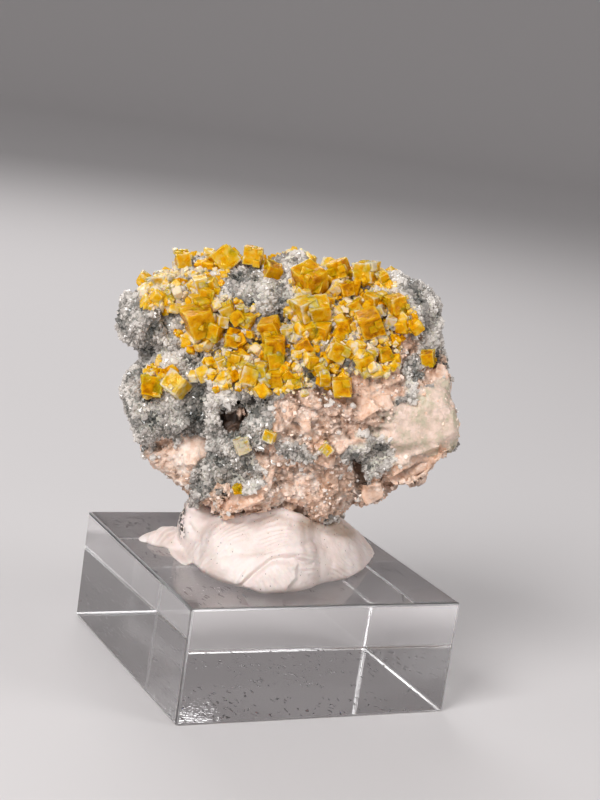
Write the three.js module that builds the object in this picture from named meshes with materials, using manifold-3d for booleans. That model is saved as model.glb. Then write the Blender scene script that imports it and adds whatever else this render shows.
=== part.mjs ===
// Chabazite specimen: amber rhombohedra on a pink host rock, stuck with white putty to a clear
// block.
//
// Millimetres, +Z up. The origin is the centre of the block's underside, X runs along the block's
// front edge and Y towards its back.

import * as THREE from "three";
import { mergeVertices } from "three/addons/utils/BufferGeometryUtils.js";
import Module from "manifold-3d";

const wasm = await Module();
wasm.setup();

// Driving dimensions of the stand
const BLOCK_SIDE = 30;
const BLOCK_HEIGHT = 12;
const BLOCK_CHAMFER = 0.25;
const GAP = 0.3;

// The stone leans and turns on its putty. Its own frame has u across, v up and w out of its best
// side, from a point near its middle.
const STONE_CENTRE = [-0.33, 0.17, 30.63];
const STONE_TURN = -27.5;
const STONE_LEAN = 12.5;
const STONE_ROLL = 8.4;

// Places on the best side were read from one viewpoint in that frame.
const VIEWPOINT = new THREE.Vector3(1.04, -1.56, 186.7);

// Contour of the stone seen from its best side: across, up
const CONTOUR = [
  [-17.0, 8.0], [-15.4, 10.5], [-12.6, 11.4], [-9.9, 13.1], [-5.0, 12.7], [-1.6, 12.5],
  [1.0, 12.5], [3.8, 11.9], [6.5, 11.1], [9.7, 11.5], [13.4, 10.7], [15.4, 8.5], [15.4, 5.1],
  [16.2, 1.2], [15.9, -1.1], [16.6, -5.0], [15.6, -7.4], [12.2, -9.6], [8.2, -11.3],
  [6.4, -11.4], [5.3, -13.6], [1.0, -14.8], [-3.1, -15.0], [-7.5, -13.9], [-10.6, -12.0],
  [-12.4, -9.3], [-14.8, -6.2], [-15.8, -3.5], [-16.4, 1.2], [-15.8, 2.9], [-16.5, 5.3],
];
const CONTOUR_STEPS = 360;
const STONE_DETAIL = 10;

// Its thickness: a rounded section, thinner above one height and below another
const SECTION_POWER = 2.5;
const FRONT_DEPTH = 8.6;
const BACK_DEPTH = 9.2;
const THINNER_ABOVE = 1;
const THINNER_BELOW = -3;
const UPPER_SLOPE = 0.27;
const LOWER_SLOPE = 0.22;
const BACK_SLOPE_SHARE = 0.5;

// Broken rock: fine grain over tilted facets, calmer towards the contour and on the lumps
const GRAIN_SIZE = 2.0;
const GRAIN_HEIGHT = 0.45;
const FACET_SIZE = 3.0;
const FACET_HEIGHT = 1.15;
const CONTOUR_ROUGHNESS = 0.35;
const LOBE_ROUGHNESS = 0.6;

// Broad swells and hollows of the best side: across, up, radius, height
const FRONT_RELIEF = [
  [1.5, -3.0, 5.0, 1.1],
  [9.3, -1.6, 2.4, 1.0],
  [12.8, 7.6, 2.6, 1.8],
  [-7.0, -1.6, 1.9, 1.5],
  [-7.2, -7.6, 2.0, 0.8],
  [-9.9, -2.4, 1.0, -2.4],
  [-9.6, -5.4, 1.0, -1.6],
  [-11.2, 4.9, 1.0, -2.2],
  [-14.2, 3.3, 1.3, -1.2],
  [-7.7, 3.4, 0.9, -1.5],
  [-0.4, 6.8, 1.0, -1.7],
  [4.6, -10.4, 2.4, 0.9],
  [6.9, -9.6, 1.0, -2.6],
  [10.6, -8.6, 2.0, -1.4],
  [-1.0, 9.3, 2.2, 0.9],
];

// The same for the far side, which is broken rock
const BACK_RELIEF = [
  [-8.0, 5.0, 3.6, 1.4],
  [5.5, 3.5, 4.2, 1.2],
  [11.5, -4.0, 2.6, 1.1],
  [-4.0, -6.5, 3.4, 0.9],
  [-0.5, 2.0, 1.6, -2.1],
  [-12.0, -2.0, 1.8, -1.4],
  [3.0, -4.0, 1.6, -1.7],
  [9.0, 9.0, 2.0, -1.2],
];

// Lumps that stand out of the main body: centre, half sizes, squareness, lean, roll, detail
const LOBES = [
  { at: [-14.2, 6.7, 2.2], half: [3.1, 3.2, 4.2], square: 2.2, lean: 0, roll: 0, detail: 3 },
  { at: [-12.9, -1.9, 3.4], half: [3.6, 3.9, 4.3], square: 4.0, lean: 8, roll: 14, detail: 3 },
  { at: [11.6, -3.9, 2.8], half: [5.0, 2.7, 4.4], square: 5.0, lean: 10, roll: 17, detail: 3 },
  { at: [11.4, -7.2, 2.0], half: [4.6, 1.6, 4.2], square: 5.0, lean: -8, roll: 30, detail: 2 },
  { at: [8.0, -10.7, 2.0], half: [2.1, 1.8, 4.0], square: 3.4, lean: 0, roll: 10, detail: 2 },
  { at: [-4.4, -11.3, 4.2], half: [2.8, 1.5, 3.6], square: 6.0, lean: 6, roll: 14, detail: 2 },
  { at: [0.1, 12.7, -0.6], half: [2.1, 1.1, 1.8], square: 2.2, lean: 0, roll: -6, detail: 2 },
  { at: [-12.1, -7.8, 1.6], half: [2.0, 1.7, 3.8], square: 2.6, lean: 0, roll: -40, detail: 2 },
  { at: [14.6, 1.2, 0.8], half: [1.9, 2.6, 3.8], square: 3.4, lean: 0, roll: 4, detail: 2 },
  { at: [-6.0, 9.4, -4.2], half: [4.6, 3.2, 4.0], square: 2.4, lean: 0, roll: 10, detail: 2 },
  { at: [8.6, -1.0, -5.4], half: [4.4, 5.2, 3.6], square: 4.2, lean: 12, roll: -18, detail: 3 },
];

// Flat breaks: a point on each, the way it faces and how far it reaches
const BREAKS = [
  { at: [-10.6, -7.4, 5.4], facing: [-0.35, -0.42, 0.84], reach: 2.6 },
  { at: [13.4, -9.4, 1.0], facing: [0.55, -0.83, 0.1], reach: 5.0 },
  { at: [1.8, -9.8, 7.2], facing: [0.12, -0.38, 0.92], reach: 2.9 },
  { at: [15.2, 4.6, 2.6], facing: [0.9, -0.1, 0.42], reach: 2.2 },
  { at: [-3.0, 8.6, -7.0], facing: [-0.1, 0.62, -0.78], reach: 5.5 },
  { at: [-11.5, -1.0, -6.6], facing: [-0.6, 0.1, -0.79], reach: 5.0 },
  { at: [1.0, -7.0, -8.0], facing: [0.05, -0.4, -0.92], reach: 6.0 },
  { at: [12.2, 5.8, -5.6], facing: [0.62, 0.3, -0.73], reach: 4.6 },
  { at: [12.6, -5.6, -5.2], facing: [0.6, -0.35, -0.72], reach: 4.4 },
];
const BREAK_THICKNESS = 4;

// Pockets and cracks cut into it: centre, half sizes, roll, turn
const POCKETS = [
  { at: [-5.9, -3.4, 7.4], half: [1.1, 2.3, 4.4], roll: -28, turn: 10 },
  { at: [-3.8, -1.7, 8.2], half: [1.3, 1.0, 3.4], roll: 20, turn: -10 },
  { at: [-11.0, -7.3, 6.8], half: [2.6, 3.0, 3.1], roll: 6, turn: -12 },
  { at: [6.4, -6.1, 9.0], half: [2.1, 0.4, 2.9], roll: 4, turn: 0 },
  { at: [6.9, -10.6, 6.2], half: [0.65, 1.8, 4.2], roll: 14, turn: 0 },
  { at: [2.4, 3.4, -9.4], half: [1.7, 3.4, 3.4], roll: 34, turn: 8 },
];

// Chabazite is a rhombohedron close to a cube: a cube squashed along one long diagonal.
const SQUASH = 0.877;
const TWIN_SCALE = 0.76;
const SMALLEST_VOLUME = 0.2;
const SEAT_STEP = 0.02;

// Crystals of the best side: across, up, edge, tilt, turn, roll, lift in edges, twinned.
// Tilt shows the top face, turn shows the left face and roll turns the front face.
const FRONT_CRYSTALS = [
  // On the skyline, left to right
  [-14.5, 10.3, 1.4, 20, 10, 30, 0.25],
  [-13.3, 10.8, 1.5, 30, -15, 10, 0.25],
  [-12.3, 10.6, 1.3, 15, 25, -20, 0.3],
  [-12.7, 9.3, 1.3, 25, -10, 40, 0.3],
  [-11.1, 13.1, 1.6, 20, 15, 5, 0.4],
  [-6.9, 13.0, 2.75, -8, 14, 42, 0.3],
  [-3.8, 13.4, 1.95, 8, -6, -6, 0.35],
  [-1.8, 11.7, 1.9, 35, 10, -28, 0.25],
  [2.0, 10.7, 3.1, 38, 42, 0, 0.3, true],
  [5.1, 12.1, 1.9, 20, -20, 22, 0.4],
  [8.0, 11.7, 2.2, 12, -32, 3, 0.35],
  [9.7, 11.1, 1.2, 25, 20, 15, 0.35],
  // Upper left
  [-9.2, 10.5, 1.5, 20, 15, 12, 0.35],
  [-8.1, 10.5, 1.1, 35, -10, 30, 0.4],
  [-8.4, 9.2, 1.6, 15, -20, -15, 0.3],
  [-9.8, 8.8, 1.2, 25, 30, 5, 0.35],
  [-9.4, 6.7, 2.9, 25, 22, 12, 0.25, true],
  [-7.9, 5.7, 1.8, 10, -25, -20, 0.25],
  [-6.5, 7.7, 1.5, 30, 10, 25, 0.35],
  [-7.0, 6.6, 1.2, 15, 20, -10, 0.4],
  [-5.4, 7.0, 1.5, 10, -15, 38, 0.3],
  [-5.0, 7.7, 1.1, 30, 25, 5, 0.4],
  [-4.4, 6.7, 1.4, 20, -30, -12, 0.3],
  [-6.1, 4.6, 1.4, 12, 8, -8, 0.35],
  // Middle
  [-2.0, 5.9, 2.0, 30, -15, 20, 0.3],
  [-1.6, 3.9, 2.15, 22, 6, -4, 0.35],
  [-1.6, 2.6, 1.7, 10, 15, 8, 0.3],
  [-0.1, 5.5, 1.3, 25, -20, 15, 0.5],
  [0.4, 4.8, 1.1, 5, 30, -25, 0.45],
  [1.6, 8.0, 2.3, 25, 35, 10, 0.35],
  [3.1, 7.9, 2.2, 45, 10, 5, 0.35],
  [5.8, 10.0, 1.4, 15, 20, 10, 0.35],
  [6.9, 8.1, 1.5, 18, -10, 30, 0.4],
  [8.8, 8.7, 1.8, 30, 40, 0, 0.35],
  [9.3, 7.6, 1.1, 10, -20, 25, 0.5],
  [11.0, 8.4, 1.9, 15, 30, 10, 0.35],
  [10.5, 6.5, 1.1, 20, -8, -15, 0.4],
  [8.3, 6.4, 2.4, 28, 15, 15, 0.3],
  [5.8, 6.2, 1.4, 15, -25, 10, 0.3],
  [1.9, 5.7, 1.8, 35, 12, 20, 0.3],
  [3.3, 5.6, 1.7, 30, -20, -5, 0.35],
  [1.4, 3.9, 1.7, 10, 10, 30, 0.25],
  [5.0, 3.6, 1.9, 20, 5, -30, 0.3],
  [7.9, 2.2, 2.0, 20, 12, 25, 0.3],
  [8.6, 3.2, 1.1, 30, -20, -10, 0.45],
  [9.8, 3.2, 1.4, 15, 20, 8, 0.3],
  [14.3, 2.8, 1.4, 20, -10, 10, 0.25],
  // Lower edge of the yellow band
  [-7.1, 2.3, 1.1, 20, 15, 20, 0.35],
  [-5.7, 2.6, 1.4, 12, -15, -10, 0.3],
  [-4.7, 2.0, 1.2, 28, 20, 30, 0.35],
  [-4.2, 1.1, 1.9, 15, 10, -20, 0.35],
  [-3.0, 1.4, 1.7, 25, -20, 12, 0.35],
  [-2.5, 0.4, 1.2, 10, 15, 35, 0.45],
  [-1.4, 0.7, 1.6, 30, -8, 5, 0.25],
  [-0.3, 0.9, 1.2, 8, 10, 45, 0.35],
  [0.8, 0.3, 1.1, 20, -15, 15, 0.3],
  [2.3, 2.4, 1.3, 15, 25, -12, 0.3],
  [3.3, 1.8, 1.2, 30, -10, 25, 0.3],
  [3.6, 0.6, 1.15, 40, 8, -4, 0.4],
  [5.4, -0.2, 1.8, 12, -8, 6, 0.35],
  // The pair on the left shoulder, with a small pink one between them
  [-14.4, -0.2, 2.05, -10, 8, -4, 0.3],
  [-13.2, 0.1, 1.2, 10, -10, 10, 0.4],
  [-11.8, 0.0, 2.2, -18, -14, -38, 0.3],
  // Single crystals lower down
  [-2.1, -5.3, 1.2, 10, -15, -20, 0.3],
  [3.8, -6.7, 1.1, 8, 6, 45, 0.3],
  [-5.0, -6.3, 1.2, 15, 20, 15, 0.3],
  [-5.4, -10.8, 0.9, 20, -10, 12, 0.4],
];

// Crystals that have grown over the top and down the far side: across, up, edge, tilt, turn, roll
const FAR_CRYSTALS = [
  [-9.5, 10.5, 2.1, 20, 30, 10, 0.3],
  [-7.9, 9.6, 1.5, 35, -10, 25, 0.3],
  [-2.5, 10.8, 1.8, 15, 20, -20, 0.3],
  [1.8, 10.2, 2.4, 30, -25, 12, 0.3],
  [3.6, 9.4, 1.6, 10, 15, 30, 0.3],
  [9.8, 8.6, 1.7, 25, 20, 5, 0.3],
  [-12.4, 6.2, 1.5, 12, -20, 15, 0.3],
  [6.6, 6.0, 1.4, 20, 10, 40, 0.3],
  [-4.8, 5.2, 1.7, 25, 15, -12, 0.3],
  [12.6, 3.4, 1.3, 15, -15, 22, 0.3],
];

// Outline of the putty where it meets the block: along X, along Y
const PUTTY_OUTLINE = [
  [-9.6, -0.6], [-10.4, -5.4], [-9.0, -9.0], [-4.6, -11.7], [-1.0, -11.3], [2.1, -9.2],
  [5.4, -8.1], [9.3, -4.8], [12.6, -0.2], [11.4, 4.2], [6.2, 7.4], [0.0, 8.0], [-5.6, 6.4],
  [-8.6, 3.0],
];
const PUTTY_MIDDLE = [0.0, -2.2];
const PUTTY_HEIGHT = 8.4;
const PUTTY_FALL = 0.03;
const PUTTY_POWER = 1.5;
const PUTTY_FOOT = 0.94;
const PUTTY_LIP = 0.07;
const PUTTY_SIDES = 30;
const PUTTY_RINGS = 7;

// Thumbed bulges and folds of the putty: along X, along Y, radius, height
const PUTTY_FOLDS = [
  [-2.6, -10.0, 2.0, 1.5],
  [-6.4, -7.6, 1.5, -0.8],
  [1.8, -6.6, 1.6, -0.5],
  [6.0, -5.6, 2.2, 0.8],
  [-9.0, -5.0, 1.6, 1.6],
];

// Repeatable numbers from 0 to 1 for the roughness of broken rock
function scatter(i, j, k, salt) {
  const wave = Math.sin(i * 127.1 + j * 311.7 + k * 74.7 + salt * 53.3) * 43758.5453;
  return wave - Math.floor(wave);
}

function smoothNoise(point, size, salt) {
  const cell = point.clone().divideScalar(size);
  const base = cell.clone().floor();
  const ease = (t) => t * t * (3 - 2 * t);
  const along = cell.clone().sub(base);
  let total = 0;
  for (const [i, j, k] of cellCorners(0, 1)) {
    const weight =
      (i ? ease(along.x) : 1 - ease(along.x)) *
      (j ? ease(along.y) : 1 - ease(along.y)) *
      (k ? ease(along.z) : 1 - ease(along.z));
    total += weight * scatter(base.x + i, base.y + j, base.z + k, salt);
  }
  return total * 2 - 1;
}

function cellCorners(low, high) {
  const corners = [];
  for (let i = low; i <= high; i++) {
    for (let j = low; j <= high; j++) {
      for (let k = low; k <= high; k++) {
        corners.push([i, j, k]);
      }
    }
  }
  return corners;
}

// Each grain of rock breaks along its own plane, so neighbouring grains step and tilt.
function brokenFacet(point) {
  const cell = point.clone().divideScalar(FACET_SIZE);
  const base = cell.clone().floor();
  let nearest = Infinity;
  let height = 0;
  for (const [i, j, k] of cellCorners(-1, 1)) {
    const x = base.x + i;
    const y = base.y + j;
    const z = base.z + k;
    const away = new THREE.Vector3(
      x + scatter(x, y, z, 1) - cell.x,
      y + scatter(x, y, z, 2) - cell.y,
      z + scatter(x, y, z, 3) - cell.z,
    );
    if (away.lengthSq() < nearest) {
      nearest = away.lengthSq();
      const slope = new THREE.Vector3(
        scatter(x, y, z, 4) - 0.5,
        scatter(x, y, z, 5) - 0.5,
        scatter(x, y, z, 6) - 0.5,
      );
      height = scatter(x, y, z, 7) - 0.5 + away.dot(slope);
    }
  }
  return height;
}

function roughness(point) {
  return GRAIN_HEIGHT * smoothNoise(point, GRAIN_SIZE, 8) + FACET_HEIGHT * brokenFacet(point);
}

function reliefAt(relief, across, up) {
  let height = 0;
  for (const [u, v, radius, swell] of relief) {
    const away = ((across - u) ** 2 + (up - v) ** 2) / (radius * radius);
    height += swell * Math.exp(-away);
  }
  return height;
}

// Distance from a middle point to a closed outline round it, for any direction
function reachAround(outline, [middleX, middleY]) {
  const points = outline.map(([x, y]) => new THREE.Vector3(x - middleX, y - middleY, 0));
  const curve = new THREE.CatmullRomCurve3(points, true, "centripetal");
  const samples = curve.getPoints(CONTOUR_STEPS).map((p) => [Math.atan2(p.y, p.x), p.length()]);
  samples.sort((a, b) => a[0] - b[0]);
  const turn = 2 * Math.PI;
  return (angle) => {
    const after = Math.max(0, samples.findIndex((sample) => sample[0] >= angle));
    const before = (after + samples.length - 1) % samples.length;
    const span = (samples[after][0] - samples[before][0] + turn) % turn;
    const part = span > 0 ? ((angle - samples[before][0] + turn) % turn) / span : 0;
    return THREE.MathUtils.lerp(samples[before][1], samples[after][1], part);
  };
}

function mainBody() {
  const reach = reachAround(CONTOUR, [0, 0]);
  const geometry = new THREE.IcosahedronGeometry(1, STONE_DETAIL);
  const position = geometry.getAttribute("position");
  const way = new THREE.Vector3();
  for (let i = 0; i < position.count; i++) {
    way.fromBufferAttribute(position, i);
    const angle = Math.atan2(way.y, way.x);
    const spread = Math.hypot(way.x, way.y) ** (2 / SECTION_POWER) * reach(angle);
    const across = spread * Math.cos(angle);
    const up = spread * Math.sin(angle);
    const front = way.z > 0;
    const share = Math.abs(way.z) ** (2 / SECTION_POWER);
    const thinned =
      UPPER_SLOPE * Math.max(0, up - THINNER_ABOVE) + LOWER_SLOPE * Math.max(0, THINNER_BELOW - up);
    const depth = front ? FRONT_DEPTH - thinned : BACK_DEPTH - BACK_SLOPE_SHARE * thinned;
    const relief = reliefAt(front ? FRONT_RELIEF : BACK_RELIEF, across, up);
    const out = share * (depth + relief);
    const place = new THREE.Vector3(across, up, front ? out : -out);
    const rough = roughness(place) * Math.min(1, CONTOUR_ROUGHNESS + share);
    place.addScaledVector(way, rough);
    position.setXYZ(i, place.x, place.y, place.z);
  }
  return solidOf(geometry);
}

function lobe({ at, half, square, lean, roll, detail }) {
  const geometry = new THREE.IcosahedronGeometry(1, detail);
  const position = geometry.getAttribute("position");
  const centre = new THREE.Vector3(...at);
  const angles = [-lean, 0, roll].map(THREE.MathUtils.degToRad);
  const turn = new THREE.Matrix4().makeRotationFromEuler(new THREE.Euler(...angles));
  const way = new THREE.Vector3();
  for (let i = 0; i < position.count; i++) {
    way.fromBufferAttribute(position, i);
    const sum = Math.abs(way.x) ** square + Math.abs(way.y) ** square + Math.abs(way.z) ** square;
    const place = way.clone().multiplyScalar(sum ** (-1 / square));
    place.multiply(new THREE.Vector3(...half)).applyMatrix4(turn).add(centre);
    place.addScaledVector(way.clone().applyMatrix4(turn), LOBE_ROUGHNESS * roughness(place));
    position.setXYZ(i, place.x, place.y, place.z);
  }
  return solidOf(geometry);
}

// A pocket is a rhomb with its long corners at the ends, as the crystal that left it was.
function pocket({ at, half, roll, turn }) {
  const geometry = new THREE.OctahedronGeometry(1, 0);
  geometry.scale(...half);
  geometry.rotateZ(THREE.MathUtils.degToRad(roll));
  geometry.rotateY(THREE.MathUtils.degToRad(turn));
  geometry.translate(...at);
  return solidOf(geometry);
}

// A flat break is what a slab lying on it takes away.
function brokenSlab({ at, facing, reach }) {
  const geometry = new THREE.BoxGeometry(2 * reach, 2 * reach, BREAK_THICKNESS);
  geometry.translate(0, 0, BREAK_THICKNESS / 2);
  const normal = new THREE.Vector3(...facing).normalize();
  const turn = new THREE.Quaternion().setFromUnitVectors(new THREE.Vector3(0, 0, 1), normal);
  geometry.applyQuaternion(turn);
  geometry.translate(...at);
  return solidOf(geometry);
}

function hostRock() {
  const grown = wasm.Manifold.union([mainBody(), ...LOBES.map(lobe)]);
  const hollows = wasm.Manifold.union([...POCKETS.map(pocket), ...BREAKS.map(brokenSlab)]);
  return largest(grown.subtract(hollows));
}

function rhombohedron(edge, placing) {
  const geometry = new THREE.BoxGeometry(edge, edge, edge);
  const along = (SQUASH - 1) / 3;
  const squash = new THREE.Matrix4().set(
    1 + along, along, along, 0,
    along, 1 + along, along, 0,
    along, along, 1 + along, 0,
    0, 0, 0, 1,
  );
  geometry.applyMatrix4(squash);
  geometry.applyMatrix4(placing);
  return solidOf(geometry);
}

function crystal(edge, placing, twinned) {
  const single = rhombohedron(edge, placing);
  if (!twinned) {
    return single;
  }
  const axis = new THREE.Vector3(1, 1, 1).normalize();
  const twinTurn = new THREE.Matrix4().makeRotationAxis(axis, Math.PI / 3);
  return single.add(rhombohedron(edge * TWIN_SCALE, placing.clone().multiply(twinTurn)));
}

// Where a line of sight from one side meets the rock, moved towards the middle until it does
function seat(rockMesh, across, up, fromFront) {
  const caster = new THREE.Raycaster();
  const aim = new THREE.Vector3(across, up, 0);
  const eye = fromFront ? VIEWPOINT : new THREE.Vector3(across, up, -VIEWPOINT.z);
  for (let pull = 0; pull < 1; pull += SEAT_STEP) {
    const target = aim.clone().multiplyScalar(1 - pull);
    caster.set(eye, target.sub(eye).normalize());
    const hits = caster.intersectObject(rockMesh);
    if (hits.length > 0) {
      const sight = aim.clone().sub(eye);
      const part = (hits[0].point.z - eye.z) / sight.z;
      return { place: eye.clone().addScaledVector(sight, part), toEye: sight.normalize().negate() };
    }
  }
  throw new Error(`nothing carries the crystal at ${across}, ${up}`);
}

function seatedCrystals(rockMesh, rows, fromFront) {
  return rows.map(([across, up, edge, tilt, turn, roll, lift, twinned = false]) => {
    const { place, toEye } = seat(rockMesh, across, up, fromFront);
    const centre = place.addScaledVector(toEye, lift * edge);
    const angles = [tilt, fromFront ? turn : turn + 180, roll].map(THREE.MathUtils.degToRad);
    const placing = new THREE.Matrix4().makeRotationFromEuler(new THREE.Euler(...angles));
    placing.setPosition(centre);
    return crystal(edge, placing, twinned);
  });
}

// Closed putty: rings from its flat underside up over a dome, pushed to its outline
function puttyPad() {
  const reach = reachAround(PUTTY_OUTLINE, PUTTY_MIDDLE);
  const profile = [new THREE.Vector2(0, 0), new THREE.Vector2(PUTTY_FOOT, 0)];
  const power = 2 / PUTTY_POWER;
  for (let ring = 0; ring <= PUTTY_RINGS; ring++) {
    const turn = (ring / PUTTY_RINGS) * (Math.PI / 2);
    const rise = PUTTY_LIP + (1 - PUTTY_LIP) * Math.sin(turn) ** power;
    profile.push(new THREE.Vector2(Math.cos(turn) ** power, rise));
  }
  profile[profile.length - 1].x = 0;
  const geometry = new THREE.LatheGeometry(profile, PUTTY_SIDES);
  geometry.rotateX(Math.PI / 2);
  const position = geometry.getAttribute("position");
  for (let i = 0; i < position.count; i++) {
    const angle = Math.atan2(position.getY(i), position.getX(i));
    const share = Math.hypot(position.getX(i), position.getY(i));
    const x = PUTTY_MIDDLE[0] + share * reach(angle) * Math.cos(angle);
    const y = PUTTY_MIDDLE[1] + share * reach(angle) * Math.sin(angle);
    const rise = position.getZ(i);
    const fold = rise > 0 ? reliefAt(PUTTY_FOLDS, x, y) * Math.min(1, rise * 2) : 0;
    const height = PUTTY_HEIGHT * (1 - PUTTY_FALL * Math.max(0, x));
    const z = BLOCK_HEIGHT + GAP + rise * height + fold;
    position.setXYZ(i, x, y, Math.max(BLOCK_HEIGHT + GAP, z));
  }
  return solidOf(geometry);
}

function acrylicBlock() {
  const flat = BLOCK_SIDE - 2 * BLOCK_CHAMFER;
  const outline = new THREE.Shape();
  outline.moveTo(-flat / 2, -flat / 2);
  outline.lineTo(flat / 2, -flat / 2);
  outline.lineTo(flat / 2, flat / 2);
  outline.lineTo(-flat / 2, flat / 2);
  outline.closePath();
  const geometry = new THREE.ExtrudeGeometry(outline, {
    depth: BLOCK_HEIGHT - 2 * BLOCK_CHAMFER,
    bevelEnabled: true,
    bevelSegments: 1,
    bevelSize: BLOCK_CHAMFER,
    bevelThickness: BLOCK_CHAMFER,
  });
  geometry.translate(0, 0, BLOCK_CHAMFER);
  return geometry;
}

// Joining and cutting
function solidOf(geometry) {
  const bare = geometry.clone();
  bare.deleteAttribute("normal");
  bare.deleteAttribute("uv");
  const merged = mergeVertices(bare);
  const corners = merged.getIndex().array;
  const kept = [];
  for (let i = 0; i < corners.length; i += 3) {
    const [a, b, c] = corners.slice(i, i + 3);
    if (a !== b && b !== c && c !== a) {
      kept.push(a, b, c);
    }
  }
  const vertProperties = new Float32Array(merged.getAttribute("position").array);
  const triVerts = new Uint32Array(kept);
  return new wasm.Manifold(new wasm.Mesh({ numProp: 3, vertProperties, triVerts }));
}

function geometryOf(solid) {
  const mesh = solid.getMesh();
  const geometry = new THREE.BufferGeometry();
  const places = new Float32Array(mesh.vertProperties);
  geometry.setAttribute("position", new THREE.BufferAttribute(places, 3));
  geometry.setIndex(new THREE.BufferAttribute(new Uint32Array(mesh.triVerts), 1));
  geometry.computeVertexNormals();
  return geometry;
}

function largest(solid) {
  return solid.decompose().sort((a, b) => b.volume() - a.volume())[0];
}

// The same solid with its skin moved out by the gap
function swollen(solid, frame) {
  const geometry = geometryOf(solid);
  const position = geometry.getAttribute("position");
  const normal = geometry.getAttribute("normal");
  for (let i = 0; i < position.count; i++) {
    position.setXYZ(
      i,
      position.getX(i) + GAP * normal.getX(i),
      position.getY(i) + GAP * normal.getY(i),
      position.getZ(i) + GAP * normal.getZ(i),
    );
  }
  return solidOf(geometry.applyMatrix4(frame));
}

// Finishes
function acrylic() {
  return new THREE.MeshStandardMaterial({
    color: 0xe9e4e6, roughness: 0.08, metalness: 0, transparent: true, opacity: 0.35,
  });
}

function putty() {
  return new THREE.MeshStandardMaterial({ color: 0xe6ddd6, roughness: 0.75, metalness: 0 });
}

function druseAndRock() {
  return new THREE.MeshStandardMaterial({ color: 0xa89a92, roughness: 0.7, metalness: 0 });
}

function amber() {
  return new THREE.MeshStandardMaterial({
    color: 0xdf9f10, roughness: 0.2, metalness: 0, transparent: true, opacity: 0.85,
  });
}

function named(name, geometry, material) {
  const mesh = new THREE.Mesh(geometry, material);
  mesh.name = name;
  return mesh;
}

// The stone's frame, as nested turns about one axis each
function stoneFrame() {
  const turned = new THREE.Group();
  turned.position.set(...STONE_CENTRE);
  turned.rotation.z = THREE.MathUtils.degToRad(STONE_TURN);
  const leaned = new THREE.Group();
  leaned.rotation.x = THREE.MathUtils.degToRad(90 - STONE_LEAN);
  const rolled = new THREE.Group();
  rolled.rotation.z = THREE.MathUtils.degToRad(STONE_ROLL);
  turned.add(leaned);
  leaned.add(rolled);
  turned.updateMatrixWorld(true);
  return { turned, rolled };
}

function addCrystals(parent, rock) {
  const rockMesh = new THREE.Mesh(geometryOf(rock), druseAndRock());
  const all = wasm.Manifold.union([
    ...seatedCrystals(rockMesh, FRONT_CRYSTALS, true),
    ...seatedCrystals(rockMesh, FAR_CRYSTALS, false),
  ]);
  const grown = all.subtract(swollen(rock, new THREE.Matrix4()));
  const pieces = grown.decompose().filter((piece) => piece.volume() > SMALLEST_VOLUME);
  pieces.sort((a, b) => b.volume() - a.volume());
  pieces.forEach((piece, index) => {
    const name = `chabazite_${String(index + 1).padStart(2, "0")}`;
    parent.add(named(name, geometryOf(piece), amber()));
  });
}

const specimen = new THREE.Group();
const { turned, rolled } = stoneFrame();
const rock = hostRock();
rolled.add(named("host_rock", geometryOf(rock), druseAndRock()));
addCrystals(rolled, rock);
specimen.add(turned);
const pad = largest(puttyPad().subtract(swollen(rock, rolled.matrixWorld)));
specimen.add(named("mounting_putty", geometryOf(pad), putty()));
specimen.add(named("acrylic_block", acrylicBlock(), acrylic()));

export default specimen;
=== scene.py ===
# %% [markdown]
# # A chabazite specimen on its clear block
# The object is a lump of host rock with amber crystals, held by white putty on a block of clear
# acrylic. The solids come packed at their real size. This lesson gives them the look of the real
# thing. Every new piece is built over its solid, so nothing here changes a size.

# %% Load the solids
from math import pi, radians

import bmesh
import bpy
import numpy as np
from mathutils import Matrix, Vector, noise
from mathutils.bvhtree import BVHTree


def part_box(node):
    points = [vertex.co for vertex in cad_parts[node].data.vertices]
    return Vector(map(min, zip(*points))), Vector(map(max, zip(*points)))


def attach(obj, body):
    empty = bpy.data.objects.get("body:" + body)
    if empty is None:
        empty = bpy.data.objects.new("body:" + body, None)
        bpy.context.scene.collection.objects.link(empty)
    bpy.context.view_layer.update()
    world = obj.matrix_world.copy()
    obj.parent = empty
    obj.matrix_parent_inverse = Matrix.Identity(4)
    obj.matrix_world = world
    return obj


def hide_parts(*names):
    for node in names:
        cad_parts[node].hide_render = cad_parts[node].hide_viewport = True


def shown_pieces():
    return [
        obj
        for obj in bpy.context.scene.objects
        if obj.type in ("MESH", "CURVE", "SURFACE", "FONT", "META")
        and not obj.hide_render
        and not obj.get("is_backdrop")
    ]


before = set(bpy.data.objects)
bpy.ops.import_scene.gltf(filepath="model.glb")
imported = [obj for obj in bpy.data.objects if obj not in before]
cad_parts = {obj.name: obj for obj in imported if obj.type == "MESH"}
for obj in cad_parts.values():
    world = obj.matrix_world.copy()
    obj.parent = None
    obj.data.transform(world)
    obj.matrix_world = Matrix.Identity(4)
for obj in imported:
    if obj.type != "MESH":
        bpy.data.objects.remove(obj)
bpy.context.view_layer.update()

MM = 0.001
print("solids:", len(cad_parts))

# %% [markdown]
# ## The stone's own frame
# The stone leans on its putty. It is easier to describe in a frame of its own, with u across its
# best side, v up and w out towards the viewer. The turns could be set on the objects, but then
# every pattern on them would turn too, so one matrix carries places from there to the room.

# %% Stone frame
STONE_CENTRE = Vector((-0.33, 0.17, 30.63)) * MM
STONE_TURN = radians(-27.5)
STONE_LEAN = radians(12.5)
STONE_ROLL = radians(8.4)

stone_turns = (
    Matrix.Rotation(STONE_TURN, 4, "Z")
    @ Matrix.Rotation(pi / 2 - STONE_LEAN, 4, "X")
    @ Matrix.Rotation(STONE_ROLL, 4, "Z")
)
stone_frame = Matrix.Translation(STONE_CENTRE) @ stone_turns @ Matrix.Scale(MM, 4)
to_stone = stone_frame.inverted()
print("up in the stone's frame:", [round(x, 2) for x in to_stone.to_3x3() @ Vector((0, 0, MM))])

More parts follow.
